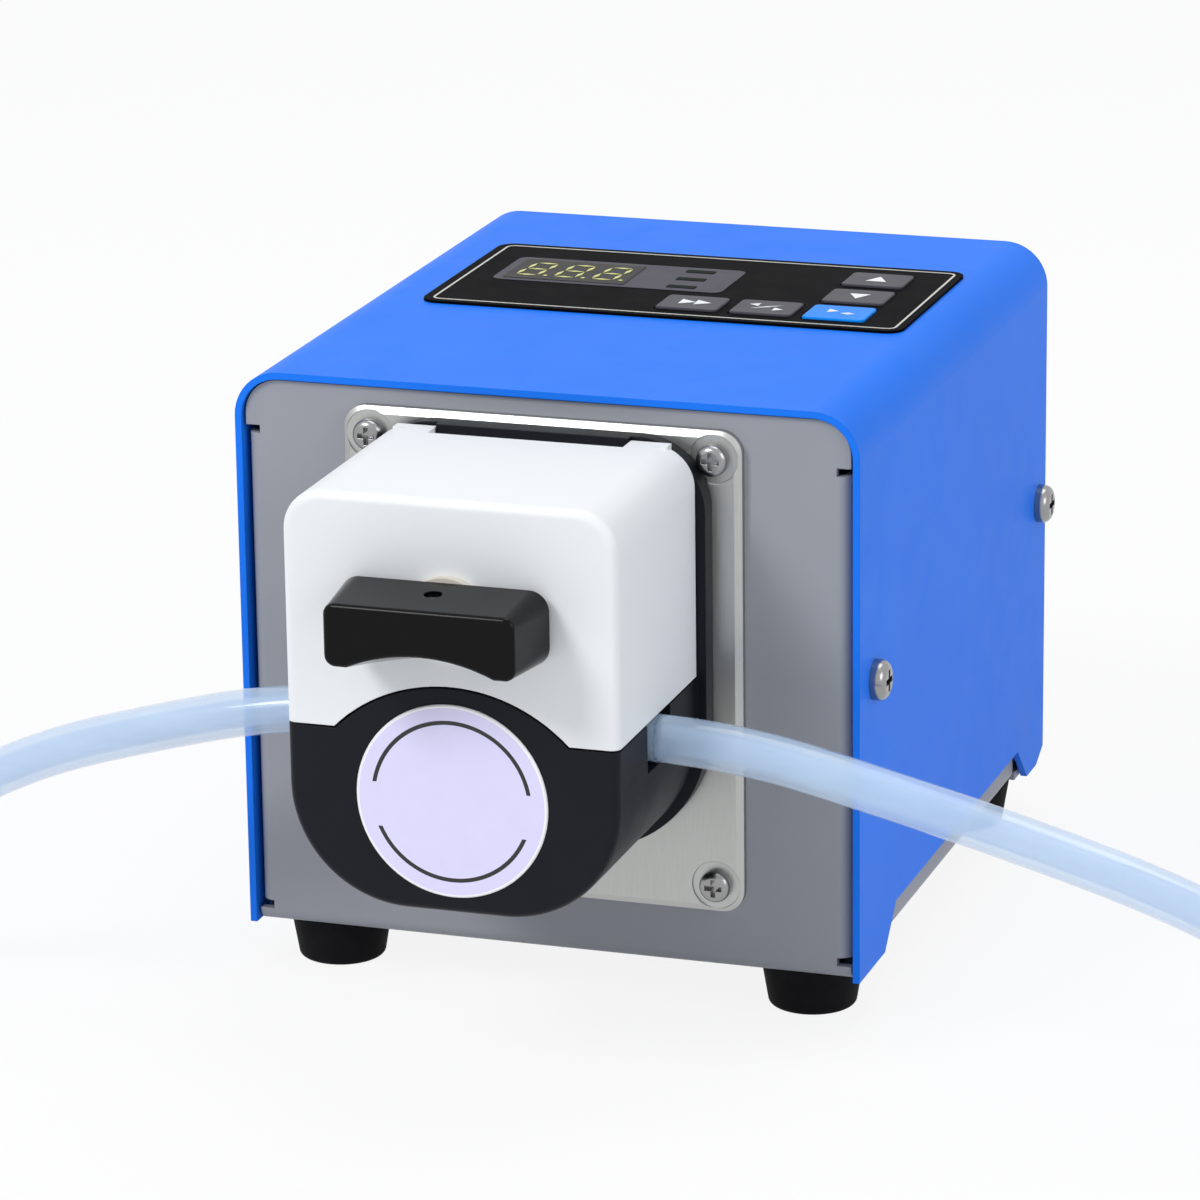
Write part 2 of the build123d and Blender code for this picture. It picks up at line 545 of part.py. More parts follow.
core -= rod(0, AXIS_Z, MOTOR_SHAFT_D + 2 * GAP, FRONT_INNER + MOTOR_CAP + MOTOR_SHAFT_IN + GAP, 0)
save("motor_stack", core)
save("motor_screws", Compound([facing(x, FACE_RECESS, z, TO_FRONT, flat_screw(M3_FLAT, MOTOR_SCREW_L))
                               for x, z in motor_spots]))
coupling_y = FRONT_INNER - MOTOR_SHAFT_OUT
tongue = block(-SHAFT_TONGUE / 2, SHAFT_TONGUE / 2, coupling_y - COUPLING_L, coupling_y,
               AXIS_Z - SHAFT_D / 2, AXIS_Z + SHAFT_D / 2)
motor_shaft = rod(0, AXIS_Z, MOTOR_SHAFT_D, FRONT_INNER + MOTOR_CAP + MOTOR_SHAFT_IN, coupling_y)
motor_shaft += rod(0, AXIS_Z, MOTOR_SHAFT_D, coupling_y, coupling_y - COUPLING_L) & tongue
save("motor_shaft", motor_shaft)

board_y1 = REAR_INNER - POWER_BOARD_REAR
board_y0 = board_y1 - POWER_BOARD_D
power_z = CHASSIS_SHEET + PILLAR_H
save("power_board", block(-POWER_BOARD_W / 2, POWER_BOARD_W / 2, board_y0, board_y1, power_z,
                          power_z + BOARD_T))
pillar_in = PILLAR_D / 2 + 1
save("board_pillars", Compound([upright(x, y, PILLAR_D, CHASSIS_SHEET, power_z)
                                for x in (pillar_in - POWER_BOARD_W / 2, POWER_BOARD_W / 2 - pillar_in)
                                for y in (board_y0 + pillar_in, board_y1 - pillar_in)]))
parts_z = power_z + BOARD_T
transformer = block(-TRANSFORMER[0], 0, board_y0 + 2, board_y0 + 2 + TRANSFORMER[1], parts_z,
                    parts_z + TRANSFORMER[2])
capacitors = [upright(x, board_y0 + 2 + CAPACITOR_D / 2, CAPACITOR_D, parts_z, parts_z + CAPACITOR_H)
              for x in CAPACITOR_X]
save("power_parts", Compound([transformer, *capacitors]))

# ================================================================ rear connectors
socket = block(SOCKET_X - SOCKET_W / 2, SOCKET_X + SOCKET_W / 2, REAR_FACE - SOCKET_L, REAR_FACE,
               SOCKET_Z - SOCKET_H / 2, SOCKET_Z + SOCKET_H / 2)
socket += slab(Pos(SOCKET_X, SOCKET_Z) * RectangleRounded(SOCKET_W + 2 * SOCKET_LIP, SOCKET_H + 2 * SOCKET_LIP, 2),
               REAR_FACE + SOCKET_FLANGE, REAR_FACE)
half_w, half_h = SOCKET_WELL_W / 2, SOCKET_WELL_H / 2
mouth = make_face(Polyline((-half_w, half_h), (half_w, half_h), (half_w, -half_h + WELL_CUT),
                           (half_w - WELL_CUT, -half_h), (WELL_CUT - half_w, -half_h),
                           (-half_w, -half_h + WELL_CUT), close=True))
well_floor = REAR_FACE + SOCKET_FLANGE - SOCKET_WELL
socket -= slab(Pos(SOCKET_X, SOCKET_Z) * mouth, REAR_FACE + SOCKET_FLANGE + 1, well_floor)
for x, z in ((-7.0, -1.5), (7.0, -1.5), (0.0, 2.0)):
    socket += block(SOCKET_X + x - 1, SOCKET_X + x + 1, well_floor - 1, well_floor + PIN_OUT,
                    SOCKET_Z + z - 2, SOCKET_Z + z + 2)
save("power_inlet", socket)

frame_face = Pos(ROCKER_X, SOCKET_Z) * RectangleRounded(SWITCH_BODY_W + 2 * SOCKET_LIP,
                                                        SWITCH_BODY_H + 2 * SOCKET_LIP, 1.5)
switch = slab(frame_face, REAR_FACE + ROCKER_FRAME, REAR_FACE)
switch += block(ROCKER_X - SWITCH_BODY_W / 2, ROCKER_X + SWITCH_BODY_W / 2, REAR_FACE - ROCKER_L, REAR_FACE,
                SOCKET_Z - SWITCH_BODY_H / 2, SOCKET_Z + SWITCH_BODY_H / 2)
switch -= block(ROCKER_X - ROCKER_W / 2 - GAP, ROCKER_X + ROCKER_W / 2 + GAP, REAR_FACE - ROCKER_WELL,
                CASE_D + ROCKER_FRAME, SOCKET_Z - ROCKER_H / 2, SOCKET_Z + ROCKER_H / 2)
pivot_y = REAR_FACE - ROCKER_SINK
pivot = Rot(0, 90, 0) * Cylinder(ROCKER_PIN_D / 2, ROCKER_W + 2 * ROCKER_PIN_L)
pivot_room = Rot(0, 90, 0) * Cylinder(ROCKER_PIN_D / 2 + RUNNING, ROCKER_W + 2 * ROCKER_PIN_L + 2 * RUNNING)
switch -= Pos(ROCKER_X, pivot_y, SOCKET_Z) * pivot_room
save("switch_frame", switch)
reach = ROCKER_H / 2 - GAP
face_y = sqrt(reach**2 - (reach - ROCKER_EDGE)**2)
rocker = make_face(Polyline((face_y, reach - ROCKER_EDGE), (face_y - ROCKER_EDGE, 0),
                            (face_y, ROCKER_EDGE - reach), (-ROCKER_BACK, 2 * ROCKER_EDGE - reach),
                            (-ROCKER_BACK, reach - 2 * ROCKER_EDGE), close=True))
rocker = extrude(Plane.YZ * rocker, amount=ROCKER_W / 2, both=True) + pivot
save("rocker", Pos(ROCKER_X, pivot_y, SOCKET_Z) * Rot(-ROCKER_TILT, 0, 0) * rocker)

port = slab(Pos(PORT_X, SOCKET_Z) * RectangleRounded(PORT_W, PORT_H, 1.5), REAR_FACE + 1, REAR_FACE)
port += block(PORT_X - PORT_SHELL_W / 2, PORT_X + PORT_SHELL_W / 2, REAR_INNER - PORT_IN, REAR_FACE + PORT_OUT,
              SOCKET_Z - PORT_SHELL_H / 2, SOCKET_Z + PORT_SHELL_H / 2)
port -= block(PORT_X - PORT_SHELL_W / 2 + PORT_SHEET, PORT_X + PORT_SHELL_W / 2 - PORT_SHEET, REAR_FACE + 2, CASE_D * 2,
              SOCKET_Z - PORT_SHELL_H / 2 + PORT_SHEET, SOCKET_Z + PORT_SHELL_H / 2 - PORT_SHEET)
for side in (-1, 1):
    post = facing(PORT_X + side * (PORT_W - 6) / 2, REAR_FACE + 1, SOCKET_Z, TO_REAR,
                  extrude(RegularPolygon(PORT_POST, 6), amount=PORT_OUT - 1))
    port += post
save("control_port", port)

# ================================================================ pump head: body
front_wall = HEAD_FRONT + FRONT_WALL
split_z = AXIS_Z + SPLIT
shoulder_z = split_z - GAP
half_head = HEAD_W / 2
slot_y = (TUBE_Y - SLOT_W / 2, TUBE_Y + SLOT_W / 2)
arch_at = Pos(0, AXIS_Z - ARCH_DROP)
guide_spots = [(-GUIDE_X, GUIDE_Y), (GUIDE_X, GUIDE_Y)]

lower = slab(outline(HEAD_W, AXIS_Z - BODY_DROP, shoulder_z, BODY_R, 0), BACK_FACE, HEAD_FRONT)
lower += slab(arch_at * Circle(ARCH_R), front_wall, HEAD_FRONT) & block(
    -half_head, half_head, HEAD_FRONT, front_wall, AXIS_Z, AXIS_Z + ARCH_R)
front_edges = [e for e in lower.faces().sort_by(Axis.Y)[0].edges() if e.center().Z < AXIS_Z + SLOT_FLOOR]
lower = fillet(front_edges, SOFT_EDGE)
lower += slab(outline(HEAD_W + 2 * BACK_LIP, AXIS_Z - BODY_DROP - BACK_LIP, AXIS_Z + BACK_TOP,
                      BODY_R + BACK_LIP, BACK_TOP_R), PLATE_FACE, BACK_FACE)
lower -= rod(0, AXIS_Z, 2 * CHAMBER_R, CHAMBER_REAR, front_wall)
lower -= block(-CHAMBER_R, CHAMBER_R, front_wall, CHAMBER_REAR, AXIS_Z, split_z)
lower += rod(0, AXIS_Z, BEARING_D + 2 * BEARING_WALL, front_wall + BEARING_OUT, front_wall)
lower -= rod(0, AXIS_Z, BEARING_D + 2 * SEAT, front_wall + BEARING_OUT, front_wall - BEARING_IN)
lower -= rod(0, AXIS_Z, BEARING_D + 2 * SEAT, REAR_BEARING_Y + BEARING_T, CHAMBER_REAR)
lower -= rod(0, AXIS_Z, SHAFT_D + 2 * GAP, 0, REAR_BEARING_Y)
lower -= rod(0, AXIS_Z, LABEL_D + 2 * SEAT, HEAD_FRONT + LABEL_T - LABEL_PROUD, HEAD_FRONT - 1)
lower -= block(-CASE_W, CASE_W, *slot_y, AXIS_Z + SLOT_FLOOR, split_z)
for x, y in guide_spots:
    lower -= upright(x, y, GUIDE_D + 2 * SEAT, shoulder_z - GUIDE_IN, split_z)
for side in (-1, 1):
    groove_half = TONGUE_W / 2 + TONGUE_GAP
    lower -= block(side * TONGUE_X - groove_half, side * TONGUE_X + groove_half, BACK_FACE - 1,
                   JAW_REAR + TONGUE_T + GAP, AXIS_Z + TONGUE_FOOT - GAP, CASE_H)
for x, z in head_spots:
    lower -= rod(x, z, M3[2] + 2 * SEAT, PLATE_FACE + 1, FACE_RECESS - HEAD_SCREW_L - SEAT)
pin_z = KNOB_Z - CAM_START
lower -= rod(0, pin_z, FOLLOWER_D + 2 * SEAT, PLATE_FACE + 1, BACK_FACE - 1)
save("head_base", lower)
save("head_screws", Compound([facing(x, FACE_RECESS, z, TO_REAR, flat_screw(M3_FLAT, HEAD_SCREW_L))
                              for x, z in head_spots]))
save("follower_pin", rod(0, pin_z, FOLLOWER_D, BACK_FACE + BACK_T - 1, BACK_FACE - FOLLOWER_OUT))
guide = Cylinder(GUIDE_D / 2, GUIDE_IN + GUIDE_OUT, align=(Align.CENTER, Align.CENTER, Align.MIN))
guide = chamfer(guide.edges().sort_by(Axis.Z)[-1], GUIDE_TIP)
save("jaw_guide_pins", Compound([Pos(x, y, shoulder_z - GUIDE_IN) * guide for x, y in guide_spots]))
label = rod(0, AXIS_Z, LABEL_D, HEAD_FRONT + LABEL_T - LABEL_PROUD, HEAD_FRONT - LABEL_PROUD)
save("label_disc", chamfer(label.edges().sort_by(Axis.Y)[0], LABEL_PROUD / 2))


def bearing(front):
    ring = rod(0, AXIS_Z, BEARING_D, front + BEARING_T, front)
    return ring - rod(0, AXIS_Z, SHAFT_D + 2 * RUNNING, front + BEARING_T, front)


save("front_bearing", bearing(front_wall - BEARING_IN))
save("rear_bearing", bearing(REAR_BEARING_Y))

# ================================================================ pump head: lifting jaw
jaw = slab(outline(HEAD_W, split_z, AXIS_Z + JAW_TOP, 0, JAW_R), JAW_REAR, HEAD_FRONT)
soft = [e for e in jaw.faces().sort_by(Axis.Y)[0].edges() if e.center().Z > split_z + 1]
jaw = fillet(soft, SOFT_EDGE)
jaw -= slab(arch_at * Circle(ARCH_R + GAP), front_wall + GAP, HEAD_FRONT - 1)
bed_half = half_head - BED_SIDE
bed_front = front_wall + GAP
bed_top = AXIS_Z + BED_R + BED_WALL
jaw -= block(-bed_half, bed_half, bed_front, CHAMBER_REAR, split_z - 1, bed_top)
cam_front = CAM_REAR - CAM_T
jaw -= rod(0, KNOB_Z, 2 * (CAM_R + CAM_ROOM), JAW_REAR + 1, cam_front - CAM_ROOM)
jaw -= rod(0, KNOB_Z, CAM_HUB_D + 2 * GAP, cam_front, cam_front - CAM_HUB_L - CAM_ROOM)
jaw -= rod(0, KNOB_Z, KNOB_SHAFT_D + 2 * GAP, cam_front, HEAD_FRONT - 1)
jaw -= rod(0, KNOB_Z, BUSH_D + 2 * SEAT, HEAD_FRONT + BUSH_L, HEAD_FRONT - 1)
for x, y in guide_spots:
    jaw -= upright(x, y, GUIDE_D + 2 * RUNNING, split_z - 1, shoulder_z + GUIDE_OUT + GUIDE_ROOM)
for side in (-1, 1):
    jaw += block(side * TONGUE_X - TONGUE_W / 2, side * TONGUE_X + TONGUE_W / 2, JAW_REAR - 1,
                 JAW_REAR + TONGUE_T, AXIS_Z + TONGUE_FOOT, AXIS_Z + JAW_TOP)
jaw -= block(-TONGUE_X + TONGUE_W / 2, TONGUE_X - TONGUE_W / 2, JAW_REAR - TOP_STEP[0], JAW_REAR + 1,
             AXIS_Z + JAW_TOP - TOP_STEP[1], AXIS_Z + JAW_TOP + 1)
save("upper_jaw", jaw)

nose_sin = sin(radians(NOSE_ANGLE))
nose_r = (BED_R * nose_sin - SPLIT) / (1 - nose_sin)
nose_x = (BED_R + nose_r) * cos(radians(180 - NOSE_ANGLE))
bed = block(SEAT - bed_half, bed_half - SEAT, bed_front, CHAMBER_REAR - SEAT, split_z, bed_top - SEAT)
bed -= rod(0, AXIS_Z, 2 * BED_R, CHAMBER_REAR, bed_front)
lead_in = block(-nose_x, nose_x, bed_front, CHAMBER_REAR, split_z, AXIS_Z + BED_R * nose_sin)
lead_in -= [rod(x, split_z + nose_r, 2 * nose_r, CHAMBER_REAR + 1, bed_front - 1) for x in (-nose_x, nose_x)]
save("jaw_bed", bed - lead_in)

bush = rod(0, KNOB_Z, BUSH_D, HEAD_FRONT + BUSH_L, HEAD_FRONT)
bush += rod(0, KNOB_Z, BUSH_FLANGE_D, HEAD_FRONT, HEAD_FRONT - BUSH_FLANGE)
bush -= rod(0, KNOB_Z, KNOB_SHAFT_D + 2 * RUNNING, 0, HEAD_FRONT - BUSH_FLANGE)
save("shaft_bush", bush)

# ---------------------------------------------------------------- scroll cam on the knob's shaft


def groove_side(offset):
    """One side of the scroll groove: the follower rises LIFT over half a turn, evenly."""
    points = []
    for step in range(GROOVE_STEPS + 1):
        turn = pi * step / GROOVE_STEPS
        radius = CAM_START + LIFT * turn / pi
        rise = LIFT / pi
        along = (rise * sin(turn) + radius * cos(turn), radius * sin(turn) - rise * cos(turn))
        scale = offset / hypot(*along)
        points.append((radius * sin(turn) + along[1] * scale, KNOB_Z - radius * cos(turn) - along[0] * scale))
    return points


groove_half = FOLLOWER_D / 2 + GROOVE_FIT
outer_side, inner_side = groove_side(groove_half), groove_side(-groove_half)
track = make_face([Spline(*outer_side), Line(outer_side[-1], inner_side[-1]), Spline(*inner_side[::-1]),
                   Line(inner_side[0], outer_side[0])])
groove_floor = cam_front + CAM_WEB
cam = rod(0, KNOB_Z, 2 * CAM_R, CAM_REAR, cam_front)
cam += rod(0, KNOB_Z, CAM_HUB_D, cam_front, cam_front - CAM_HUB_L)
cam -= slab(track, CAM_REAR + 1, groove_floor)
cam -= rod(0, KNOB_Z - CAM_START, 2 * groove_half, CAM_REAR + 1, groove_floor)
cam -= rod(0, KNOB_Z + CAM_START + LIFT, 2 * groove_half, CAM_REAR + 1, groove_floor)
cam -= rod(0, KNOB_Z, KNOB_SHAFT_D + 2 * SEAT, CAM_REAR + 1, cam_front - CAM_HUB_L)
cross_pin_y = cam_front - CAM_HUB_L / 2
cam -= upright(0, cross_pin_y, CROSS_PIN_D + 2 * SEAT, KNOB_Z - CAM_HUB_D, KNOB_Z + CAM_HUB_D)
save("cam_disc", cam)
save("cam_cross_pin", upright(0, cross_pin_y, CROSS_PIN_D, KNOB_Z - CAM_HUB_D / 2, KNOB_Z + CAM_HUB_D / 2))
shaft = rod(0, KNOB_Z, KNOB_SHAFT_D, groove_floor - SEAT, KNOB_REAR)
shaft += rod(0, KNOB_Z, SPIGOT_D, KNOB_REAR, KNOB_REAR - KNOB_SINK)
shaft -= upright(0, cross_pin_y, CROSS_PIN_D + 2 * SEAT, KNOB_Z - CAM_HUB_D, KNOB_Z + CAM_HUB_D)
save("knob_shaft", shaft)

# ---------------------------------------------------------------- knob: a tapered bar, hollow below
rear_face = Plane.XZ.offset(-KNOB_REAR) * Pos(0, KNOB_Z) * RectangleRounded(KNOB_REAR_W, KNOB_REAR_H, KNOB_R[1])
front_face = Plane.XZ.offset(-KNOB_FRONT) * Pos(0, KNOB_Z) * RectangleRounded(
    KNOB_FRONT_W, KNOB_FRONT_H, KNOB_R[0])
knob = loft([rear_face, front_face])
hollow_z = KNOB_Z - KNOB_FRONT_H / 2 + KNOB_HOLLOW
hollow_fall = KNOB_HOLLOW + (KNOB_REAR_H - KNOB_FRONT_H) / 2
slope = atan2(hollow_fall, KNOB_L)
scoop = Rot(90 - degrees(slope), 0, 0) * Cylinder(HOLLOW_R, 3 * KNOB_REAR_W)
knob -= Pos(0, KNOB_FRONT - HOLLOW_R * sin(slope), hollow_z - HOLLOW_R * cos(slope)) * scoop
knob = fillet(knob.faces().sort_by(Axis.Y)[0].edges(), KNOB_EDGE)
knob -= rod(0, KNOB_Z, SPIGOT_D + 2 * SEAT, KNOB_REAR + 1, KNOB_REAR - KNOB_SINK)
grub_y = KNOB_REAR - KNOB_L * GRUB_AT
knob -= upright(0, grub_y, GRUB_D + 2 * SEAT, KNOB_Z, KNOB_Z + KNOB_REAR_H)
save("knob", knob)
grub = upright(0, grub_y, GRUB_D, KNOB_Z + SPIGOT_D / 2, KNOB_Z + SPIGOT_D / 2 + GRUB_L)
save("knob_set_screw", grub - upright(0, grub_y, GRUB_D / 2, KNOB_Z + SPIGOT_D / 2 + GRUB_L / 2,
                                      KNOB_Z + KNOB_REAR_H))

# ================================================================ pump head: rotor
rotor_y = (TUBE_Y - ROTOR_HALF, TUBE_Y + ROTOR_HALF)
roller_spots = [(PITCH_R * cos(radians(a)), AXIS_Z + PITCH_R * sin(radians(a)))
                for a in (ROLLER_START + 360 / ROLLERS * n for n in range(ROLLERS))]
shaft_front = front_wall - BEARING_IN + SHAFT_SET
shaft_rear = coupling_y - SEAT
rotor_shaft = rod(0, AXIS_Z, SHAFT_D, shaft_rear, shaft_front)
rotor_shaft -= block(-SHAFT_TONGUE / 2 - SEAT, SHAFT_TONGUE / 2 + SEAT, shaft_rear - COUPLING_L, shaft_rear + 1,
                     AXIS_Z - SHAFT_D, AXIS_Z + SHAFT_D)
save("rotor_shaft", rotor_shaft)
for name, low in (("rotor_front_cheek", rotor_y[0] - CHEEK_T), ("rotor_rear_cheek", rotor_y[1])):
    cheek = rod(0, AXIS_Z, 2 * CHEEK_R, low + CHEEK_T, low)
    cheek -= rod(0, AXIS_Z, SHAFT_D + 2 * SEAT, low + CHEEK_T, low)
    cheek -= [rod(x, z, AXLE_D + 2 * SEAT, low + CHEEK_T, low) for x, z in roller_spots]
    save(name, cheek)
hub = rod(0, AXIS_Z, HUB_D, rotor_y[1], rotor_y[0])
save("rotor_hub", hub - rod(0, AXIS_Z, SHAFT_D + 2 * SEAT, rotor_y[1], rotor_y[0]))
save("roller_axles", Compound([rod(x, z, AXLE_D, rotor_y[1] + CHEEK_T, rotor_y[0] - CHEEK_T)
                               for x, z in roller_spots]))
for number, (x, z) in enumerate(roller_spots, 1):
    roller = rod(x, z, ROLLER_D, TUBE_Y + ROLLER_L / 2, TUBE_Y - ROLLER_L / 2)
    roller = chamfer(roller.edges().group_by(Axis.Y)[0] + roller.edges().group_by(Axis.Y)[-1], ROLLER_EDGE)
    save(f"roller_{number}", roller - rod(x, z, AXLE_D + 2 * RUNNING, 0, HEAD_FRONT))

# ================================================================ tube in the head
squeezed = SQUEEZE * (TUBE_OD - TUBE_ID) - 2 * SOFT_GAP
band_mid = (ORBIT_R + BED_R) / 2


def nose_station(turn, height, inset):
    """Cross-section of the tube where it follows the jaw's lead-in, turned from straight down."""
    width = TUBE_OD + (TUBE_WIDE - TUBE_OD) * (TUBE_OD - height) / (TUBE_OD - squeezed)
    reach = nose_r + SOFT_GAP + height / 2
    at = (-nose_x + reach * sin(radians(turn)), TUBE_Y, split_z + nose_r - reach * cos(radians(turn)))
    plane = Plane(origin=at, x_dir=(0, 1, 0), z_dir=(cos(radians(turn)), 0, sin(radians(turn))))
    return plane * Ellipse(width / 2 - inset, max(height / 2 - inset, BORE_LEAST))


exit_plane = Plane(origin=(-half_head, TUBE_Y, split_z - SOFT_GAP - TUBE_OD / 2), x_dir=(0, 1, 0), z_dir=(1, 0, 0))


def entry(inset):
    start = exit_plane * Circle(TUBE_OD / 2 - inset)
    straight = extrude(start, amount=half_head - nose_x)
    return straight + loft([nose_station(turn, height, inset) for turn, height in STATIONS])


entry_tube = entry(0) - entry((TUBE_OD - TUBE_ID) / 2)
band_plane = Plane(origin=(0, TUBE_Y, AXIS_Z), x_dir=(cos(radians(NOSE_ANGLE)), 0, sin(radians(NOSE_ANGLE))),
                   z_dir=(sin(radians(NOSE_ANGLE)), 0, -cos(radians(NOSE_ANGLE))))
band = revolve(band_plane * Pos(band_mid, 0) * Ellipse(squeezed / 2, TUBE_WIDE / 2),
               Axis((0, TUBE_Y, AXIS_Z), (0, 1, 0)), 2 * NOSE_ANGLE - 180)
save("tube_in_head", entry_tube + band + mirror(entry_tube, about=Plane.YZ))


def hose(points):
    """Tube along hand-placed points, straight runs joined by tangent arcs."""
    full = [(x, TUBE_Y, z) for x, z in points]
    radii = []
    for a, b, c in zip(points, points[1:], points[2:]):
        first, second = (b[0] - a[0], b[1] - a[1]), (c[0] - b[0], c[1] - b[1])
        turn = abs(atan2(first[0] * second[1] - first[1] * second[0],
                         first[0] * second[0] + first[1] * second[1]))
        radii.append(BEND_SHARE * min(hypot(*first), hypot(*second)) / tan(turn / 2))
    path = FilletPolyline(*full, radius=radii)
    print("bend radii", [round(r) for r in radii], "length", round(path.length, 1))
    ring = Plane(origin=path @ 0, z_dir=path % 0) * (Circle(TUBE_OD / 2) - Circle(TUBE_ID / 2))
    return sweep(ring, path)


save("hose_right", hose(HOSE_RIGHT))
save("hose_left", hose(HOSE_LEFT))

for name, shape in nodes.items():
    export_step(shape, f"parts/{name}.step")
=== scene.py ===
import math

import bmesh
import bpy
from mathutils import Matrix, Vector


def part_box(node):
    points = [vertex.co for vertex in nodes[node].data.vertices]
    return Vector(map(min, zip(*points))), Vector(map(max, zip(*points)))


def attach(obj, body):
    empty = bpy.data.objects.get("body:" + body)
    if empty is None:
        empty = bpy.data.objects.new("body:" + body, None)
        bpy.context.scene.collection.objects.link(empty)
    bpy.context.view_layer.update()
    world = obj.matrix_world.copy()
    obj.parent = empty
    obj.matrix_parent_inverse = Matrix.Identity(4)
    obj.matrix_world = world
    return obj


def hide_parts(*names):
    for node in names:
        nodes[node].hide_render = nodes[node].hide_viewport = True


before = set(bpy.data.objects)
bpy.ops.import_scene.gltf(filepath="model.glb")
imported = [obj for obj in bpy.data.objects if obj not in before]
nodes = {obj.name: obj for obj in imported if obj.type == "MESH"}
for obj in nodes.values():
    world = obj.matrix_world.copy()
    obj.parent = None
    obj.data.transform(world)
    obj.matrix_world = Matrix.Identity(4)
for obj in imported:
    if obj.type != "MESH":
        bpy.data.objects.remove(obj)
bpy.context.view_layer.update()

bl_info = {
    "name": "Peristaltic pump dresser",
    "version": (1, 0, 0),
    "blender": (4, 5, 0),
    "location": "3D View > Sidebar > Pump",
    "description": "Dresses the packed model of a benchtop peristaltic pump with hoses, prints and finishes",
    "category": "Object",
}

MM = 0.001
case_low, case_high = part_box("cover")
disc_low, disc_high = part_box("label_disc")
case_middle = (case_low.x + case_high.x) / 2
film_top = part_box("panel_film")[1].z
rotor_axis = ((disc_low.x + disc_high.x) / 2, (disc_low.z + disc_high.z) / 2)
tube_y = sum(corner.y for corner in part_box("tube_in_head")) / 2


def spot(x, y, z):
    """A place given in millimetres from the middle of the cover's lower front edge."""
    return Vector((case_middle + x * MM, case_low.y + y * MM, case_low.z + z * MM))


# ---------------------------------------------------------------- camera and light
CAMERA_AZIMUTH = math.radians(18.541)
CAMERA_ELEVATION = math.radians(16.819)
CAMERA_ROLL = math.radians(-0.746)
CAMERA_BACK, CAMERA_RIGHT, CAMERA_UP = 979.858, 8.552, 60.195  # millimetres from spot(0, 0, 0)
CAMERA_LENS, CAMERA_SENSOR = 171.80199, 36  # millimetres
CAMERA_NEAR, CAMERA_FAR = 0.01, 20  # metres
LAMPS = (  # name, place and size in metres, power in watts
    ("key", (-0.7, -1.1, 1.2), 0.5, 13.4),
    ("fill", (1.3, -0.6, 0.7), 0.7, 4.6),
    ("top", (0.1, 0.3, 1.4), 0.8, 5.2),
)
LAMP_AIM = (0, 0, 0.05)  # metres
SKY_COLOUR, SKY_STRENGTH = (0.93, 0.96, 1.0, 1), 0.48
FLOOR_SIZE = 6  # metres
FLOOR_COLOUR = (0.86, 0.86, 0.87)
PAPER_SHARE = 0.88  # how far the floor is plain white in the picture; the rest takes the shadow

# ---------------------------------------------------------------- layout, in millimetres
HOSE_ROUTES = {  # x and z of the control points, from spot(0, 0, 0)
    "hose_right": ((28.6, 49.3), (42, 49), (66, 43.6), (92, 37), (116, 29.9),
                   (140, 19), (162, 4.5), (188, -5), (208, -5)),
    "hose_left": ((-28.8, 49.3), (-40, 48.4), (-60, 43.2), (-80, 37.2), (-98, 28.2),
                  (-116, 16.5), (-136, 5), (-158, -5), (-178, -5)),
}

ARC_INNER, ARC_OUTER = 13.05, 13.75  # radii between which the label's two arcs are printed
ARC_UPPER, ARC_LOWER = 2.3, -5.2  # heights above and below which they are printed, from the rotor's axis
LABEL_RIM = 15.9  # radius from which the label is white
LABEL_BLACK, LABEL_WHITE = (0.004, 0.004, 0.005), (0.93, 0.93, 0.95)

PANEL_BORDER = (-39.3, 45.7, 54.6, 96.8)  # x from, x to, y from, y to
DISPLAY_SURROUND = (-34, 9, 71.4, 88.6)
DISPLAY_WINDOW = (-32.4, -9.5, 72.9, 87)
BORDER_CORNER, SURROUND_CORNER, WINDOW_CORNER, LAMP_CORNER = 1.6, 1.8, 0.6, 0.3
LAMP_WINDOWS = tuple((-1.7, 3.7, y - 1, y + 1) for y in (74.2, 80.0, 85.8))
DIGIT_X, DIGIT_Y = (-28.0, -20.9, -13.8), 80
DIGIT_HALF_WIDTH, DIGIT_HALF_HEIGHT = 1.95, 4.4
DIGIT_LEAN = 8  # degrees
STROKE_WIDTH, LEVEL_STROKE, UPRIGHT_STROKE = 0.75, 3.5, 4.0
POINT_X, POINT_Y, POINT_SIZE, POINT_TURN = 2.9, 75.7, 0.9, 0.4
STROKES = (  # steps to the side and up from the digit's middle, and whether it stands
    (0, 2, False), (0, 0, False), (0, -2, False), (-1, 1, True), (1, 1, True), (-1, -1, True), (1, -1, True),
)
LEFTWARD, RIGHTWARD, UPWARD, DOWNWARD = math.pi / 2, -math.pi / 2, 0, math.pi
KEY_ARROWS = {  # x, y, radius, heading and width of each arrow on a key's cap
    "key_up": ((0, -0.3, 2.3, UPWARD, 0.95),),
    "key_down": ((0, 0.3, 2.3, DOWNWARD, 0.95),),
    "key_run": ((-1.5, 0.6, 1.3, RIGHTWARD, 1.0),),
    "key_direction": ((-2.2, 1.3, 1.2, LEFTWARD, 1.0), (2.2, -1.3, 1.2, RIGHTWARD, 1.0)),
    "key_prime": ((-1.3, 0, 1.9, RIGHTWARD, 1.0), (1.5, 0, 1.9, RIGHTWARD, 1.0)),
}
KEY_BARS = {  # x, y, length, width and turn of the stroke on a key's cap
    "key_direction": (0, 0, 6.2, 0.6, 0.55),
    "key_run": (1.7, -0.7, 2.6, 1.3, 0),
}

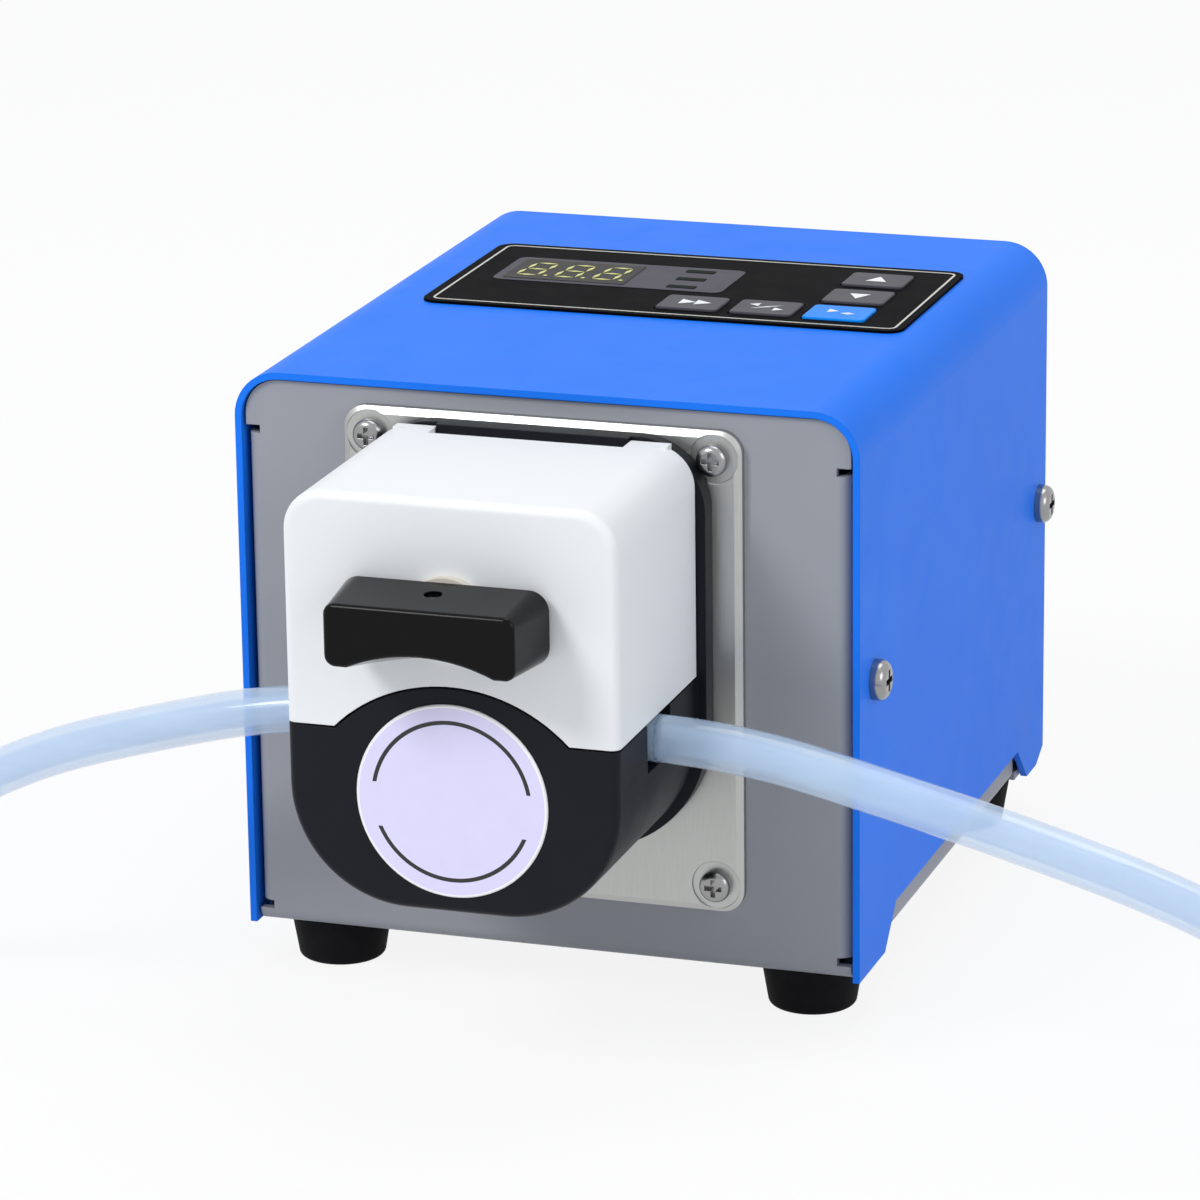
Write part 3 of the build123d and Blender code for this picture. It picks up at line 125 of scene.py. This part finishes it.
# ---------------------------------------------------------------- which finish each carried-over node wears
DRESSING = {
    "cover_powder_coat": ("cover",),
    "chassis_satin_paint": ("chassis",),
    "plate_stainless": ("adaptor_plate",),
    "screw_polished": ("cover_screws", "foot_screws", "adaptor_screws", "head_screws", "motor_screws",
                       "control_port", "knob_set_screw"),
    "steel_ground": ("motor_shaft", "jaw_guide_pins", "follower_pin", "knob_shaft", "cam_cross_pin",
                     "rotor_shaft", "roller_axles", "front_bearing", "rear_bearing", "roller_1", "roller_2",
                     "roller_3", "roller_4", "board_standoffs", "board_pillars"),
    "rotor_turned": ("rotor_front_cheek", "rotor_rear_cheek", "rotor_hub", "motor_bells"),
    "foot_rubber": ("rubber_feet",),
    "jaw_moulding": ("upper_jaw",),
    "body_black": ("head_base",),
    "knob_gloss_black": ("knob", "rocker"),
    "plastic_black": ("key_switches", "power_parts", "power_inlet", "switch_frame", "motor_stack"),
    "bush_acetal": ("cam_disc", "shaft_bush", "jaw_bed"),
    "panel_film_black": ("panel_film",),
    "keycap_grey": ("key_up", "key_down", "key_direction", "key_prime"),
    "keycap_blue": ("key_run",),
    "display_smoked": ("display_module",),
    "lamp_unlit": ("indicator_lamps",),
    "board_lacquer": ("control_board", "power_board"),
    "label_print": ("label_disc",),
    "soft_tubing": ("tube_in_head", "hose_left", "hose_right"),
}


# ---------------------------------------------------------------- sizes and colours that a user may change
def colour(name, note, default):
    return bpy.props.FloatVectorProperty(name=name, description=note, subtype="COLOR", size=3, min=0, max=1,
                                         default=default)


def length(name, note, default):
    return bpy.props.FloatProperty(name=name, description=note, subtype="DISTANCE", unit="LENGTH",
                                   default=default, min=0)


class PumpColours(bpy.types.PropertyGroup):
    cover: colour("Cover", "Powder coat of the cover", (0.014, 0.190, 0.90))
    chassis: colour("Chassis", "Satin paint of the folded chassis", (0.33, 0.34, 0.375))
    jaw: colour("Jaw", "Moulding of the lifting jaw", (0.84, 0.86, 0.875))
    body: colour("Head body", "Moulding of the pump head's body", (0.009, 0.010, 0.014))
    label: colour("Label", "Printed disc on the head", (0.73, 0.70, 0.96))
    hose: colour("Hose", "Soft pump tubing", (0.57, 0.74, 1.0))
    film: colour("Panel film", "Black ground of the control panel", (0.003, 0.003, 0.004))
    window: colour("Display surround", "Violet grey surround of the display", (0.050, 0.046, 0.066))
    digits: colour("Digits", "Segments of the display", (0.54, 0.54, 0.18))


class PumpSizes(bpy.types.PropertyGroup):
    hose: length("Hose diameter", "Outside diameter of the hoses", 0.008)
    bore: length("Hose bore", "Bore of the hoses", 0.0048)
    print_height: length("Print height", "How far printed marks stand above their ground", 0.00006)
    line: length("Border line", "Width of the silver line round the panel", 0.0004)


# ---------------------------------------------------------------- finishes
def fill(tree, slot, value):
    """Links a wire to a socket, or gives the socket a value of its own."""
    if isinstance(value, Wire):
        tree.links.new(value.socket, slot)
    elif slot.type == "RGBA" and len(value) == 3:
        slot.default_value = (*value, 1)
    else:
        slot.default_value = value


class Wire:
    """A node socket that can be used in a Python expression."""

    def __init__(self, tree, socket):
        self.tree = tree
        self.socket = socket

    def _maths(self, operation, first, second):
        node = self.tree.nodes.new("ShaderNodeMath")
        node.operation = operation
        fill(self.tree, node.inputs[0], first)
        fill(self.tree, node.inputs[1], second)
        return Wire(self.tree, node.outputs[0])

    def __add__(self, other):
        return self._maths("ADD", self, other)

    __radd__ = __add__

    def __mul__(self, other):
        return self._maths("MULTIPLY", self, other)

    __rmul__ = __mul__

    def __gt__(self, other):
        return self._maths("GREATER_THAN", self, other)

    def __lt__(self, other):
        return self._maths("LESS_THAN", self, other)


class Finish:
    """A material built from nodes round one Principled shader."""

    def __init__(self, name, base, roughness, **constants):
        self.material = bpy.data.materials.new(name)
        self.material.use_nodes = True
        self.tree = self.material.node_tree
        self.shader = self.tree.nodes["Principled BSDF"]
        self.material.diffuse_color = (*base, 1)
        self.set("Base Color", base)
        self.set("Roughness", roughness)
        for key, value in constants.items():
            self.set(key.replace("_", " "), value)

    def set(self, name, value):
        fill(self.tree, self.shader.inputs[name], value)

    def node(self, kind, settings=None, sockets=None, out=0):
        """Any node: its settings first, then the values or links of its sockets."""
        node = self.tree.nodes.new("ShaderNode" + kind)
        for key, value in (settings or {}).items():
            if key == "stops":
                for element, (position, grey) in zip(node.color_ramp.elements, value):
                    element.position = position
                    element.color = (grey, grey, grey, 1)
            else:
                setattr(node, key, value)
        for key, value in (sockets or {}).items():
            fill(self.tree, node.inputs[key], value)
        return Wire(self.tree, node.outputs[out])

    def place(self, stretch=(1, 1, 1), shift=(0, 0, 0)):
        """Object coordinates in millimetres, stretched or shifted."""
        here = self.node("TexCoord", out=3)
        scale = tuple(1000 * s for s in stretch)
        return self.node("Mapping", None, {"Vector": here, "Scale": scale, "Location": shift})

    def noise(self, size, detail=3.0, stretch=(1, 1, 1)):
        """Noise whose features are about `size` millimetres across."""
        sockets = {"Vector": self.place(stretch), "Scale": 1 / size, "Detail": detail}
        return self.node("TexNoise", None, sockets)

    def blend(self, mask, first, second):
        """The first colour where the mask is 0, the second where it is 1."""
        mix = self.tree.nodes.new("ShaderNodeMix")
        mix.data_type = "RGBA"
        for index, value in ((0, mask), (6, first), (7, second)):
            fill(self.tree, mix.inputs[index], value)
        return Wire(self.tree, mix.outputs[2])

    def soften(self, height=None, strength=0.1, distance=0.05, edge=0.25):
        """Rounds sharp edges in the light and adds a fine relief, both in millimetres."""
        rounded = self.node("Bevel", {"samples": 4}, {"Radius": edge * MM})
        if height is None:
            self.set("Normal", rounded)
        else:
            sockets = {"Strength": strength, "Distance": distance * MM, "Height": height, "Normal": rounded}
            self.set("Normal", self.node("Bump", None, sockets))

    def edges(self, radius=0.3):
        """1 on edges, 0 on flat ground."""
        rounded = self.node("Bevel", {"samples": 4}, {"Radius": radius * MM})
        plain = self.node("NewGeometry", out=1)
        dot = self.node("VectorMath", {"operation": "DOT_PRODUCT"}, {0: rounded, 1: plain}, out=1)
        return self.node("ValToRGB", {"stops": [(0.80, 1.0), (0.97, 0.0)]}, {0: dot})


def shade(tint, factor):
    """The tint made darker or lighter."""
    return tuple(min(1, c * factor) for c in tint)


def powder_coat(name, tint, roughness, grain=0.6, relief=0.25, edge_wear_and_glint=0.35):
    """Sprayed paint: orange peel, slight unevenness and lighter edges: thinner, worn paint on the cover and
    chassis, painted highlights along the key caps' bevels.
    """
    made = Finish(name, tint, roughness, Specular_IOR_Level=0.06)
    cloud = made.noise(35, 2)
    ground = made.blend(cloud, shade(tint, 0.93), shade(tint, 1.06))
    # edges made lighter: worn paint on painted metal, a painted highlight where the key caps use this finish
    wear_and_glint = made.edges(0.35) * made.noise(2.5, 4) * edge_wear_and_glint
    made.set("Base Color", made.blend(wear_and_glint, ground, shade(tint, 1.5)))
    made.set("Roughness", made.noise(9, 3) * 0.12 + (roughness - 0.06))
    made.soften(made.noise(grain, 2), relief, 0.03)
    return made.material


def moulded(name, tint, roughness, grain=0.25, relief=0.25, coat=0.0, drift=0.05, shine=0.5):
    """Moulded or turned plastic with a fine spark texture."""
    made = Finish(name, tint, roughness, Coat_Weight=coat, Coat_Roughness=0.1, Specular_IOR_Level=shine)
    cloud = made.noise(18, 3)
    made.set("Base Color", made.blend(cloud, shade(tint, 1 - drift), shade(tint, 1 + drift)))
    made.set("Roughness", made.noise(6, 4) * 0.14 + (roughness - 0.07))
    made.soften(made.noise(grain, 2), relief, 0.02)
    return made.material


def brushed(name, tint, roughness, along=(1, 1, 1), relief=0.2, smear=0.16):
    """Metal with fine lines along one direction: `along` is small where the lines run."""
    made = Finish(name, tint, roughness, Metallic=1.0)
    lines = made.noise(0.16, 3, along)
    broad = made.noise(14, 3)
    made.set("Base Color", made.blend(lines, shade(tint, 0.86), shade(tint, 1.08)))
    made.set("Roughness", lines * smear + broad * 0.12 + (roughness - smear / 2 - 0.06))
    made.soften(lines, relief, 0.01, 0.2)
    return made.material


def rubber(name, tint):
    """Dull rubber with a mottled, slightly rough skin."""
    made = Finish(name, tint, 0.75, Specular_IOR_Level=0.08)
    made.set("Base Color", made.blend(made.noise(4, 4), shade(tint, 0.7), shade(tint, 1.5)))
    made.set("Roughness", made.noise(1.5, 3) * 0.2 + 0.62)
    made.soften(made.noise(0.35, 3), 0.4, 0.04, 0.4)
    return made.material


def silicone(name, tint):
    """Clear bluish tubing: each wall lets half of the light through."""
    made = Finish(name, tint, 0.18, Coat_Weight=0.9, Coat_Roughness=0.04)
    haze = made.noise(7, 2, (0.3, 1, 1))
    made.set("Base Color", made.blend(haze, shade(tint, 0.9), shade(tint, 1.1)))
    made.set("Alpha", haze * 0.14 + 0.40)
    made.set("Roughness", made.noise(3, 3) * 0.1 + 0.12)
    return made.material


def ring_print(name, tint):
    """The label: pale rim and two black arcs printed round the axis."""
    made = Finish(name, tint, 0.32, Coat_Weight=0.3, Coat_Roughness=0.15)
    here = made.place((1, 0, 1), (-rotor_axis[0] * 1000, 0, -rotor_axis[1] * 1000))
    up = made.node("SeparateXYZ", None, {0: here}, out=2)
    radius = made.node("VectorMath", {"operation": "LENGTH"}, {0: here}, out=1)
    band = (radius > ARC_INNER) * (radius < ARC_OUTER)
    arcs = band * ((up > ARC_UPPER) + (up < ARC_LOWER))
    rim = radius > LABEL_RIM
    mottled = made.blend(made.noise(3, 3), shade(tint, 0.97), shade(tint, 1.02))
    ground = made.blend(rim, mottled, LABEL_WHITE)
    made.set("Base Color", made.blend(arcs, ground, LABEL_BLACK))
    made.set("Roughness", made.noise(5, 3) * 0.1 + 0.27)
    made.soften(None)
    return made.material


def painted_glow(name, tint, power):
    """Segments that shine a little by themselves: a painted glow on an unlit display."""
    made = Finish(name, tint, 0.35, Emission_Strength=power, Emission_Color=tint)
    made.set("Base Color", made.blend(made.noise(0.8, 2), shade(tint, 0.85), shade(tint, 1.1)))
    return made.material


def background_ray(tree):
    """1 for rays that show the backdrop: from the camera, in metal and through clear pieces."""
    path = tree.nodes.new("ShaderNodeLightPath")
    seen = Wire(tree, path.outputs["Is Camera Ray"])
    return seen + Wire(tree, path.outputs["Is Glossy Ray"]) + Wire(tree, path.outputs["Is Transmission Ray"])


def paper_white():
    """Floor paper that stays white in the picture under a faint shadow of the pump."""
    made = Finish("floor_white", FLOOR_COLOUR, 0.9)
    glow = made.node("Emission", None, {"Color": (1, 1, 1), "Strength": 1.0})
    mask = background_ray(made.tree) * PAPER_SHARE
    mix = made.node("MixShader", None, {0: mask, 1: Wire(made.tree, made.shader.outputs[0]), 2: glow})
    made.tree.links.new(mix.socket, made.tree.nodes["Material Output"].inputs[0])
    return made.material


def studio_light():
    """Soft light from all round, and a white backdrop for the rays that show it."""
    world = bpy.data.worlds.new("studio")
    world.use_nodes = True
    tree = world.node_tree
    tree.nodes.clear()
    soft = tree.nodes.new("ShaderNodeBackground")
    soft.inputs[0].default_value = SKY_COLOUR
    soft.inputs[1].default_value = SKY_STRENGTH
    plain = tree.nodes.new("ShaderNodeBackground")
    plain.inputs[0].default_value = (1, 1, 1, 1)
    mix = tree.nodes.new("ShaderNodeMixShader")
    out = tree.nodes.new("ShaderNodeOutputWorld")
    tree.links.new(background_ray(tree).socket, mix.inputs[0])
    tree.links.new(soft.outputs[0], mix.inputs[1])
    tree.links.new(plain.outputs[0], mix.inputs[2])
    tree.links.new(mix.outputs[0], out.inputs[0])
    return world


# ---------------------------------------------------------------- modelling helpers
def clear():
    """Leaves edit mode and deselects everything."""
    if bpy.context.mode != "OBJECT":
        bpy.ops.object.mode_set(mode="OBJECT")
    bpy.ops.object.select_all(action="DESELECT")


def settle(name, material, body):
    """Names the active piece, puts its place in its mesh, gives it its finish and hangs it on a body."""
    piece = bpy.context.object
    piece.name = name
    bpy.ops.object.transform_apply(location=True, rotation=True, scale=True)
    piece.data.materials.clear()
    piece.data.materials.append(bpy.data.materials[material])
    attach(piece, body)


def pick(test, kind="verts"):
    """Selects the parts of the active mesh, in edit mode, whose middle passes the test."""
    shape = bmesh.from_edit_mesh(bpy.context.object.data)
    for element in [*shape.verts, *shape.edges, *shape.faces]:
        element.select_set(False)
    for element in getattr(shape, kind):
        if kind == "verts":
            middle = element.co
        elif kind == "edges":
            middle = (element.verts[0].co + element.verts[1].co) / 2
        else:
            middle = element.calc_center_median()
        if test(middle, element):
            element.select_set(True)
    shape.select_flush_mode()
    bmesh.update_edit_mesh(bpy.context.object.data)


def tile(low, high, corner):
    """A flat tile between two corners, its own corners rounded in plan."""
    clear()
    bpy.ops.mesh.primitive_cube_add(size=1, location=(low + high) / 2, scale=high - low)
    bpy.ops.object.transform_apply(location=True, rotation=True, scale=True)
    bpy.ops.object.mode_set(mode="EDIT")
    bpy.ops.mesh.select_mode(type="EDGE")
    pick(lambda m, e: abs(e.verts[0].co.z - e.verts[1].co.z) > 1e-6, "edges")
    bpy.ops.mesh.bevel(offset=corner, segments=5, affect="EDGES")
    bpy.ops.mesh.select_mode(type="VERT")
    bpy.ops.object.mode_set(mode="OBJECT")
    return bpy.context.object


def outline_tile(low, high, corner, width):
    """A thin printed line round a rectangle."""
    piece = tile(low, high, corner)
    bpy.ops.object.mode_set(mode="EDIT")
    bpy.ops.mesh.select_mode(type="FACE")
    pick(lambda m, e: abs(e.normal.z) > 0.9, "faces")
    bpy.ops.mesh.inset(thickness=width, depth=0)
    bpy.ops.mesh.bridge_edge_loops()
    bpy.ops.mesh.select_mode(type="VERT")
    bpy.ops.object.mode_set(mode="OBJECT")
    return piece


def bar(centre, size, lean, depth):
    """A printed stroke with pointed ends, lying flat on the panel."""
    clear()
    half = size[1] / 2
    bpy.ops.mesh.primitive_cylinder_add(vertices=4, radius=half, depth=depth, location=(0, 0, 0))
    bpy.ops.object.mode_set(mode="EDIT")
    stretch = (size[0] - size[1]) / 2
    for side in (-1, 1):
        pick(lambda m, e: m.x * side > half * 0.5)
        bpy.ops.transform.translate(value=(side * stretch, 0, 0))
    bpy.ops.object.mode_set(mode="OBJECT")
    piece = bpy.context.object
    piece.rotation_euler.z = lean
    piece.location = centre
    bpy.ops.object.transform_apply(location=True, rotation=True, scale=True)
    return piece


def flat(area, base, height):
    """The two corners of a thin slab on the panel: its area in millimetres, its base and height in metres."""
    x_from, x_to, y_from, y_to = area
    low, high = spot(x_from, y_from, 0), spot(x_to, y_to, 0)
    return Vector((low.x, low.y, base)), Vector((high.x, high.y, base + height))


def joined(pieces):
    """Makes the pieces one mesh, which becomes the active piece."""
    clear()
    for piece in pieces:
        piece.select_set(True)
    bpy.context.view_layer.objects.active = pieces[0]
    bpy.ops.object.join()


def dress(names, material):
    """Gives the carried-over nodes of these names a finish."""
    for name in names:
        node = nodes[name]
        node.data.materials.clear()
        node.data.materials.append(bpy.data.materials[material])


# ---------------------------------------------------------------- operators
class PUMP_OT_stage(bpy.types.Operator):
    """Floor, studio light and camera"""
    bl_idname = "pump.stage"
    bl_label = "Stage"

    def execute(self, context):
        scene = context.scene
        scene.view_settings.view_transform = "Standard"
        level = math.cos(CAMERA_ELEVATION)
        back = Vector((math.sin(CAMERA_AZIMUTH) * level, -math.cos(CAMERA_AZIMUTH) * level,
                       math.sin(CAMERA_ELEVATION)))
        right = (-back).cross(Vector((0, 0, 1))).normalized()
        up = right.cross(-back)
        right, up = (right * math.cos(CAMERA_ROLL) + up * math.sin(CAMERA_ROLL),
                     up * math.cos(CAMERA_ROLL) - right * math.sin(CAMERA_ROLL))
        eye = spot(*(back * CAMERA_BACK + right * CAMERA_RIGHT + up * CAMERA_UP))
        lens = bpy.data.cameras.new("view")
        lens.sensor_width = CAMERA_SENSOR
        lens.lens = CAMERA_LENS
        lens.clip_start = CAMERA_NEAR
        lens.clip_end = CAMERA_FAR
        camera = bpy.data.objects.new("view", lens)
        camera.matrix_world = Matrix.Translation(eye) @ Matrix((right, up, back)).transposed().to_4x4()
        scene.collection.objects.link(camera)
        scene.camera = camera
        clear()
        bpy.ops.mesh.primitive_plane_add(size=FLOOR_SIZE, location=(0, 0, 0))
        floor = context.object
        floor.name = "floor"
        floor.data.materials.append(paper_white())
        scene.world = studio_light()
        for name, place, size, power in LAMPS:
            lamp = bpy.data.lights.new(name, "AREA")
            lamp.size = size
            lamp.energy = power
            holder = bpy.data.objects.new(name, lamp)
            turn = (Vector(LAMP_AIM) - Vector(place)).to_track_quat("-Z", "Y").to_matrix().to_4x4()
            holder.matrix_world = Matrix.Translation(Vector(place)) @ turn
            scene.collection.objects.link(holder)
        return {"FINISHED"}


class PUMP_OT_hoses(bpy.types.Operator):
    """The two runs of pump tubing"""
    bl_idname = "pump.hoses"
    bl_label = "Hoses"

    def execute(self, context):
        sizes = context.scene.pump_sizes
        for node, route in HOSE_ROUTES.items():
            points = [Vector((spot(x, 0, 0).x, tube_y, spot(0, 0, z).z)) for x, z in route]
            line = bpy.data.curves.new(node + "_line", "CURVE")
            line.dimensions = "3D"
            run = line.splines.new("NURBS")
            run.points.add(len(points) - 1)
            for control, point in zip(run.points, points):
                control.co = (*point, 1)
            run.order_u = 3
            run.use_endpoint_u = True
            run.resolution_u = 16
            line.bevel_depth = sizes.hose / 2
            line.bevel_resolution = 10
            piece = bpy.data.objects.new(node + "_tubing", line)
            context.scene.collection.objects.link(piece)
            wall = piece.modifiers.new("wall", "SOLIDIFY")
            wall.thickness = (sizes.hose - sizes.bore) / 2
            wall.offset = -1
            line.materials.append(bpy.data.materials["soft_tubing"])
            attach(piece, "frame")
            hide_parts(node)
        return {"FINISHED"}


class PUMP_OT_finishes(bpy.types.Operator):
    """Finishes of all carried-over nodes"""
    bl_idname = "pump.finishes"
    bl_label = "Finishes"

    def execute(self, context):
        tints = context.scene.pump_colours
        powder_coat("cover_powder_coat", tints.cover, 0.42)
        powder_coat("chassis_satin_paint", tints.chassis, 0.38, grain=0.4, relief=0.15, edge_wear_and_glint=0.2)
        # the key caps' lighter edges are painted highlights along their bevels
        powder_coat("keycap_grey", (0.058, 0.056, 0.072), 0.34, relief=0.05, edge_wear_and_glint=1.0)
        powder_coat("keycap_blue", (0.004, 0.25, 0.90), 0.34, relief=0.05, edge_wear_and_glint=0.6)
        brushed("plate_stainless", (0.48, 0.49, 0.48), 0.38, along=(1, 1, 0.04))
        brushed("screw_polished", (0.33, 0.33, 0.33), 0.24, relief=0.05, smear=0.08)
        brushed("steel_ground", (0.66, 0.66, 0.68), 0.24, along=(0.04, 1, 1))
        brushed("rotor_turned", (0.6, 0.61, 0.63), 0.32, relief=0.15)
        rubber("foot_rubber", (0.006, 0.006, 0.007))
        moulded("jaw_moulding", tints.jaw, 0.42, grain=0.5, relief=0.06, drift=0.012, shine=0.4)
        moulded("body_black", tints.body, 0.38, grain=0.3, relief=0.3, drift=0.2, shine=0.12)
        moulded("knob_gloss_black", (0.0015, 0.0015, 0.002), 0.14, grain=2.0, relief=0.02, drift=0.1,
                shine=0.14)
        moulded("plastic_black", (0.012, 0.012, 0.013), 0.48, grain=0.3, relief=0.35, drift=0.2, shine=0.3)
        moulded("bush_acetal", (0.70, 0.66, 0.57), 0.42, grain=0.6, relief=0.1, drift=0.08)
        moulded("panel_film_black", tints.film, 0.36, grain=0.8, relief=0.05, drift=0.2, shine=0.003)
        moulded("display_smoked", (0.003, 0.004, 0.003), 0.24, grain=1.0, relief=0.02, drift=0.1, shine=0.03)
        moulded("window_violet", tints.window, 0.36, grain=0.8, relief=0.04, drift=0.06, shine=0.05)
        moulded("lamp_unlit", (0.002, 0.006, 0.003), 0.3, grain=0.8, relief=0.02, drift=0.1, shine=0.005)
        moulded("board_lacquer", (0.01, 0.12, 0.04), 0.35, grain=0.8, relief=0.1, coat=0.3, drift=0.2)
        moulded("print_white", (0.85, 0.86, 0.88), 0.35, grain=0.8, relief=0.05, coat=0.1, drift=0.02)
        moulded("print_silver", (0.66, 0.65, 0.6), 0.35, grain=0.8, relief=0.05, drift=0.05)
        silicone("soft_tubing", tints.hose)
        ring_print("label_print", tints.label)
        # the digits' emission is a painted glow; the display is unlit
        painted_glow("segment_green", tints.digits, 0.22)
        for material, names in DRESSING.items():
            dress(names, material)
        return {"FINISHED"}


class PUMP_OT_panel(bpy.types.Operator):
    """Printed border, display, lamps and key marks of the control panel"""
    bl_idname = "pump.panel"
    bl_label = "Control panel"

    def execute(self, context):
        sizes = context.scene.pump_sizes
        lift = sizes.print_height
        outline_tile(*flat(PANEL_BORDER, film_top, lift), BORDER_CORNER * MM, sizes.line)
        settle("panel_border", "print_silver", "frame")
        tile(*flat(DISPLAY_SURROUND, film_top, lift), SURROUND_CORNER * MM)
        settle("display_surround", "window_violet", "frame")
        above = film_top + lift
        tile(*flat(DISPLAY_WINDOW, above, lift), WINDOW_CORNER * MM)
        settle("display_window", "display_smoked", "frame")
        self.digits(above + lift, lift)
        for number, window in enumerate(LAMP_WINDOWS, 1):
            tile(*flat(window, above, lift), LAMP_CORNER * MM)
            settle(f"lamp_window_{number}", "lamp_unlit", "frame")
        for name in KEY_ARROWS:
            self.mark(name, lift)
        return {"FINISHED"}

    def digits(self, glass, lift):
        """Three leaning digits of seven strokes, each with its point."""
        lean = math.tan(math.radians(DIGIT_LEAN))
        strokes = []

        def stroke(x, y, size, turn):
            centre = spot(x, y, 0)
            centre.z = glass + lift / 2
            strokes.append(bar(centre, Vector(size) * MM, turn, lift))

        for middle_x in DIGIT_X:
            for step_x, step_y, stands in STROKES:
                y = step_y * DIGIT_HALF_HEIGHT / 2
                x = middle_x + step_x * DIGIT_HALF_WIDTH + y * lean
                reach = UPRIGHT_STROKE if stands else LEVEL_STROKE
                turn = math.radians(90 - DIGIT_LEAN) if stands else 0
                stroke(x, DIGIT_Y + y, (reach, STROKE_WIDTH), turn)
            stroke(middle_x + POINT_X, POINT_Y, (POINT_SIZE, POINT_SIZE), POINT_TURN)
        joined(strokes)
        settle("display_digits", "segment_green", "frame")

    def mark(self, name, lift):
        """The white symbol on a key cap."""
        low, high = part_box(name)
        middle = Vector(((low.x + high.x) / 2, (low.y + high.y) / 2, high.z + lift / 2))
        pieces = []
        if name in KEY_BARS:
            x, y, reach, width, turn = KEY_BARS[name]
            pieces.append(bar(middle + Vector((x, y, 0)) * MM, Vector((reach, width)) * MM, turn, lift))
        for x, y, radius, heading, width in KEY_ARROWS[name]:
            clear()
            bpy.ops.mesh.primitive_cylinder_add(vertices=3, radius=radius * MM, depth=lift,
                                                location=middle + Vector((x, y, 0)) * MM)
            arrow = bpy.context.object
            arrow.rotation_euler.z = heading
            arrow.scale.x = width
            bpy.ops.object.transform_apply(location=True, rotation=True, scale=True)
            pieces.append(arrow)
        joined(pieces)
        settle(name + "_mark", "print_white", name)


OPERATORS = (PUMP_OT_finishes, PUMP_OT_stage, PUMP_OT_hoses, PUMP_OT_panel)


class PUMP_PT_sidebar(bpy.types.Panel):
    """Lists the pump's operators and settings"""
    bl_idname = "PUMP_PT_sidebar"
    bl_label = "Pump"
    bl_space_type = "VIEW_3D"
    bl_region_type = "UI"
    bl_category = "Pump"

    def draw(self, context):
        for kind in OPERATORS:
            self.layout.operator(kind.bl_idname)
        for group in (context.scene.pump_colours, context.scene.pump_sizes):
            for name in group.__annotations__:
                self.layout.prop(group, name)


CLASSES = (PumpColours, PumpSizes, *OPERATORS, PUMP_PT_sidebar)


def register():
    for kind in CLASSES:
        bpy.utils.register_class(kind)
    bpy.types.Scene.pump_colours = bpy.props.PointerProperty(type=PumpColours)
    bpy.types.Scene.pump_sizes = bpy.props.PointerProperty(type=PumpSizes)


def unregister():
    del bpy.types.Scene.pump_sizes
    del bpy.types.Scene.pump_colours
    for kind in reversed(CLASSES):
        bpy.utils.unregister_class(kind)


def main():
    register()
    bpy.ops.pump.finishes()
    bpy.ops.pump.stage()
    bpy.ops.pump.hoses()
    bpy.ops.pump.panel()


if __name__ == "__main__":
    main()
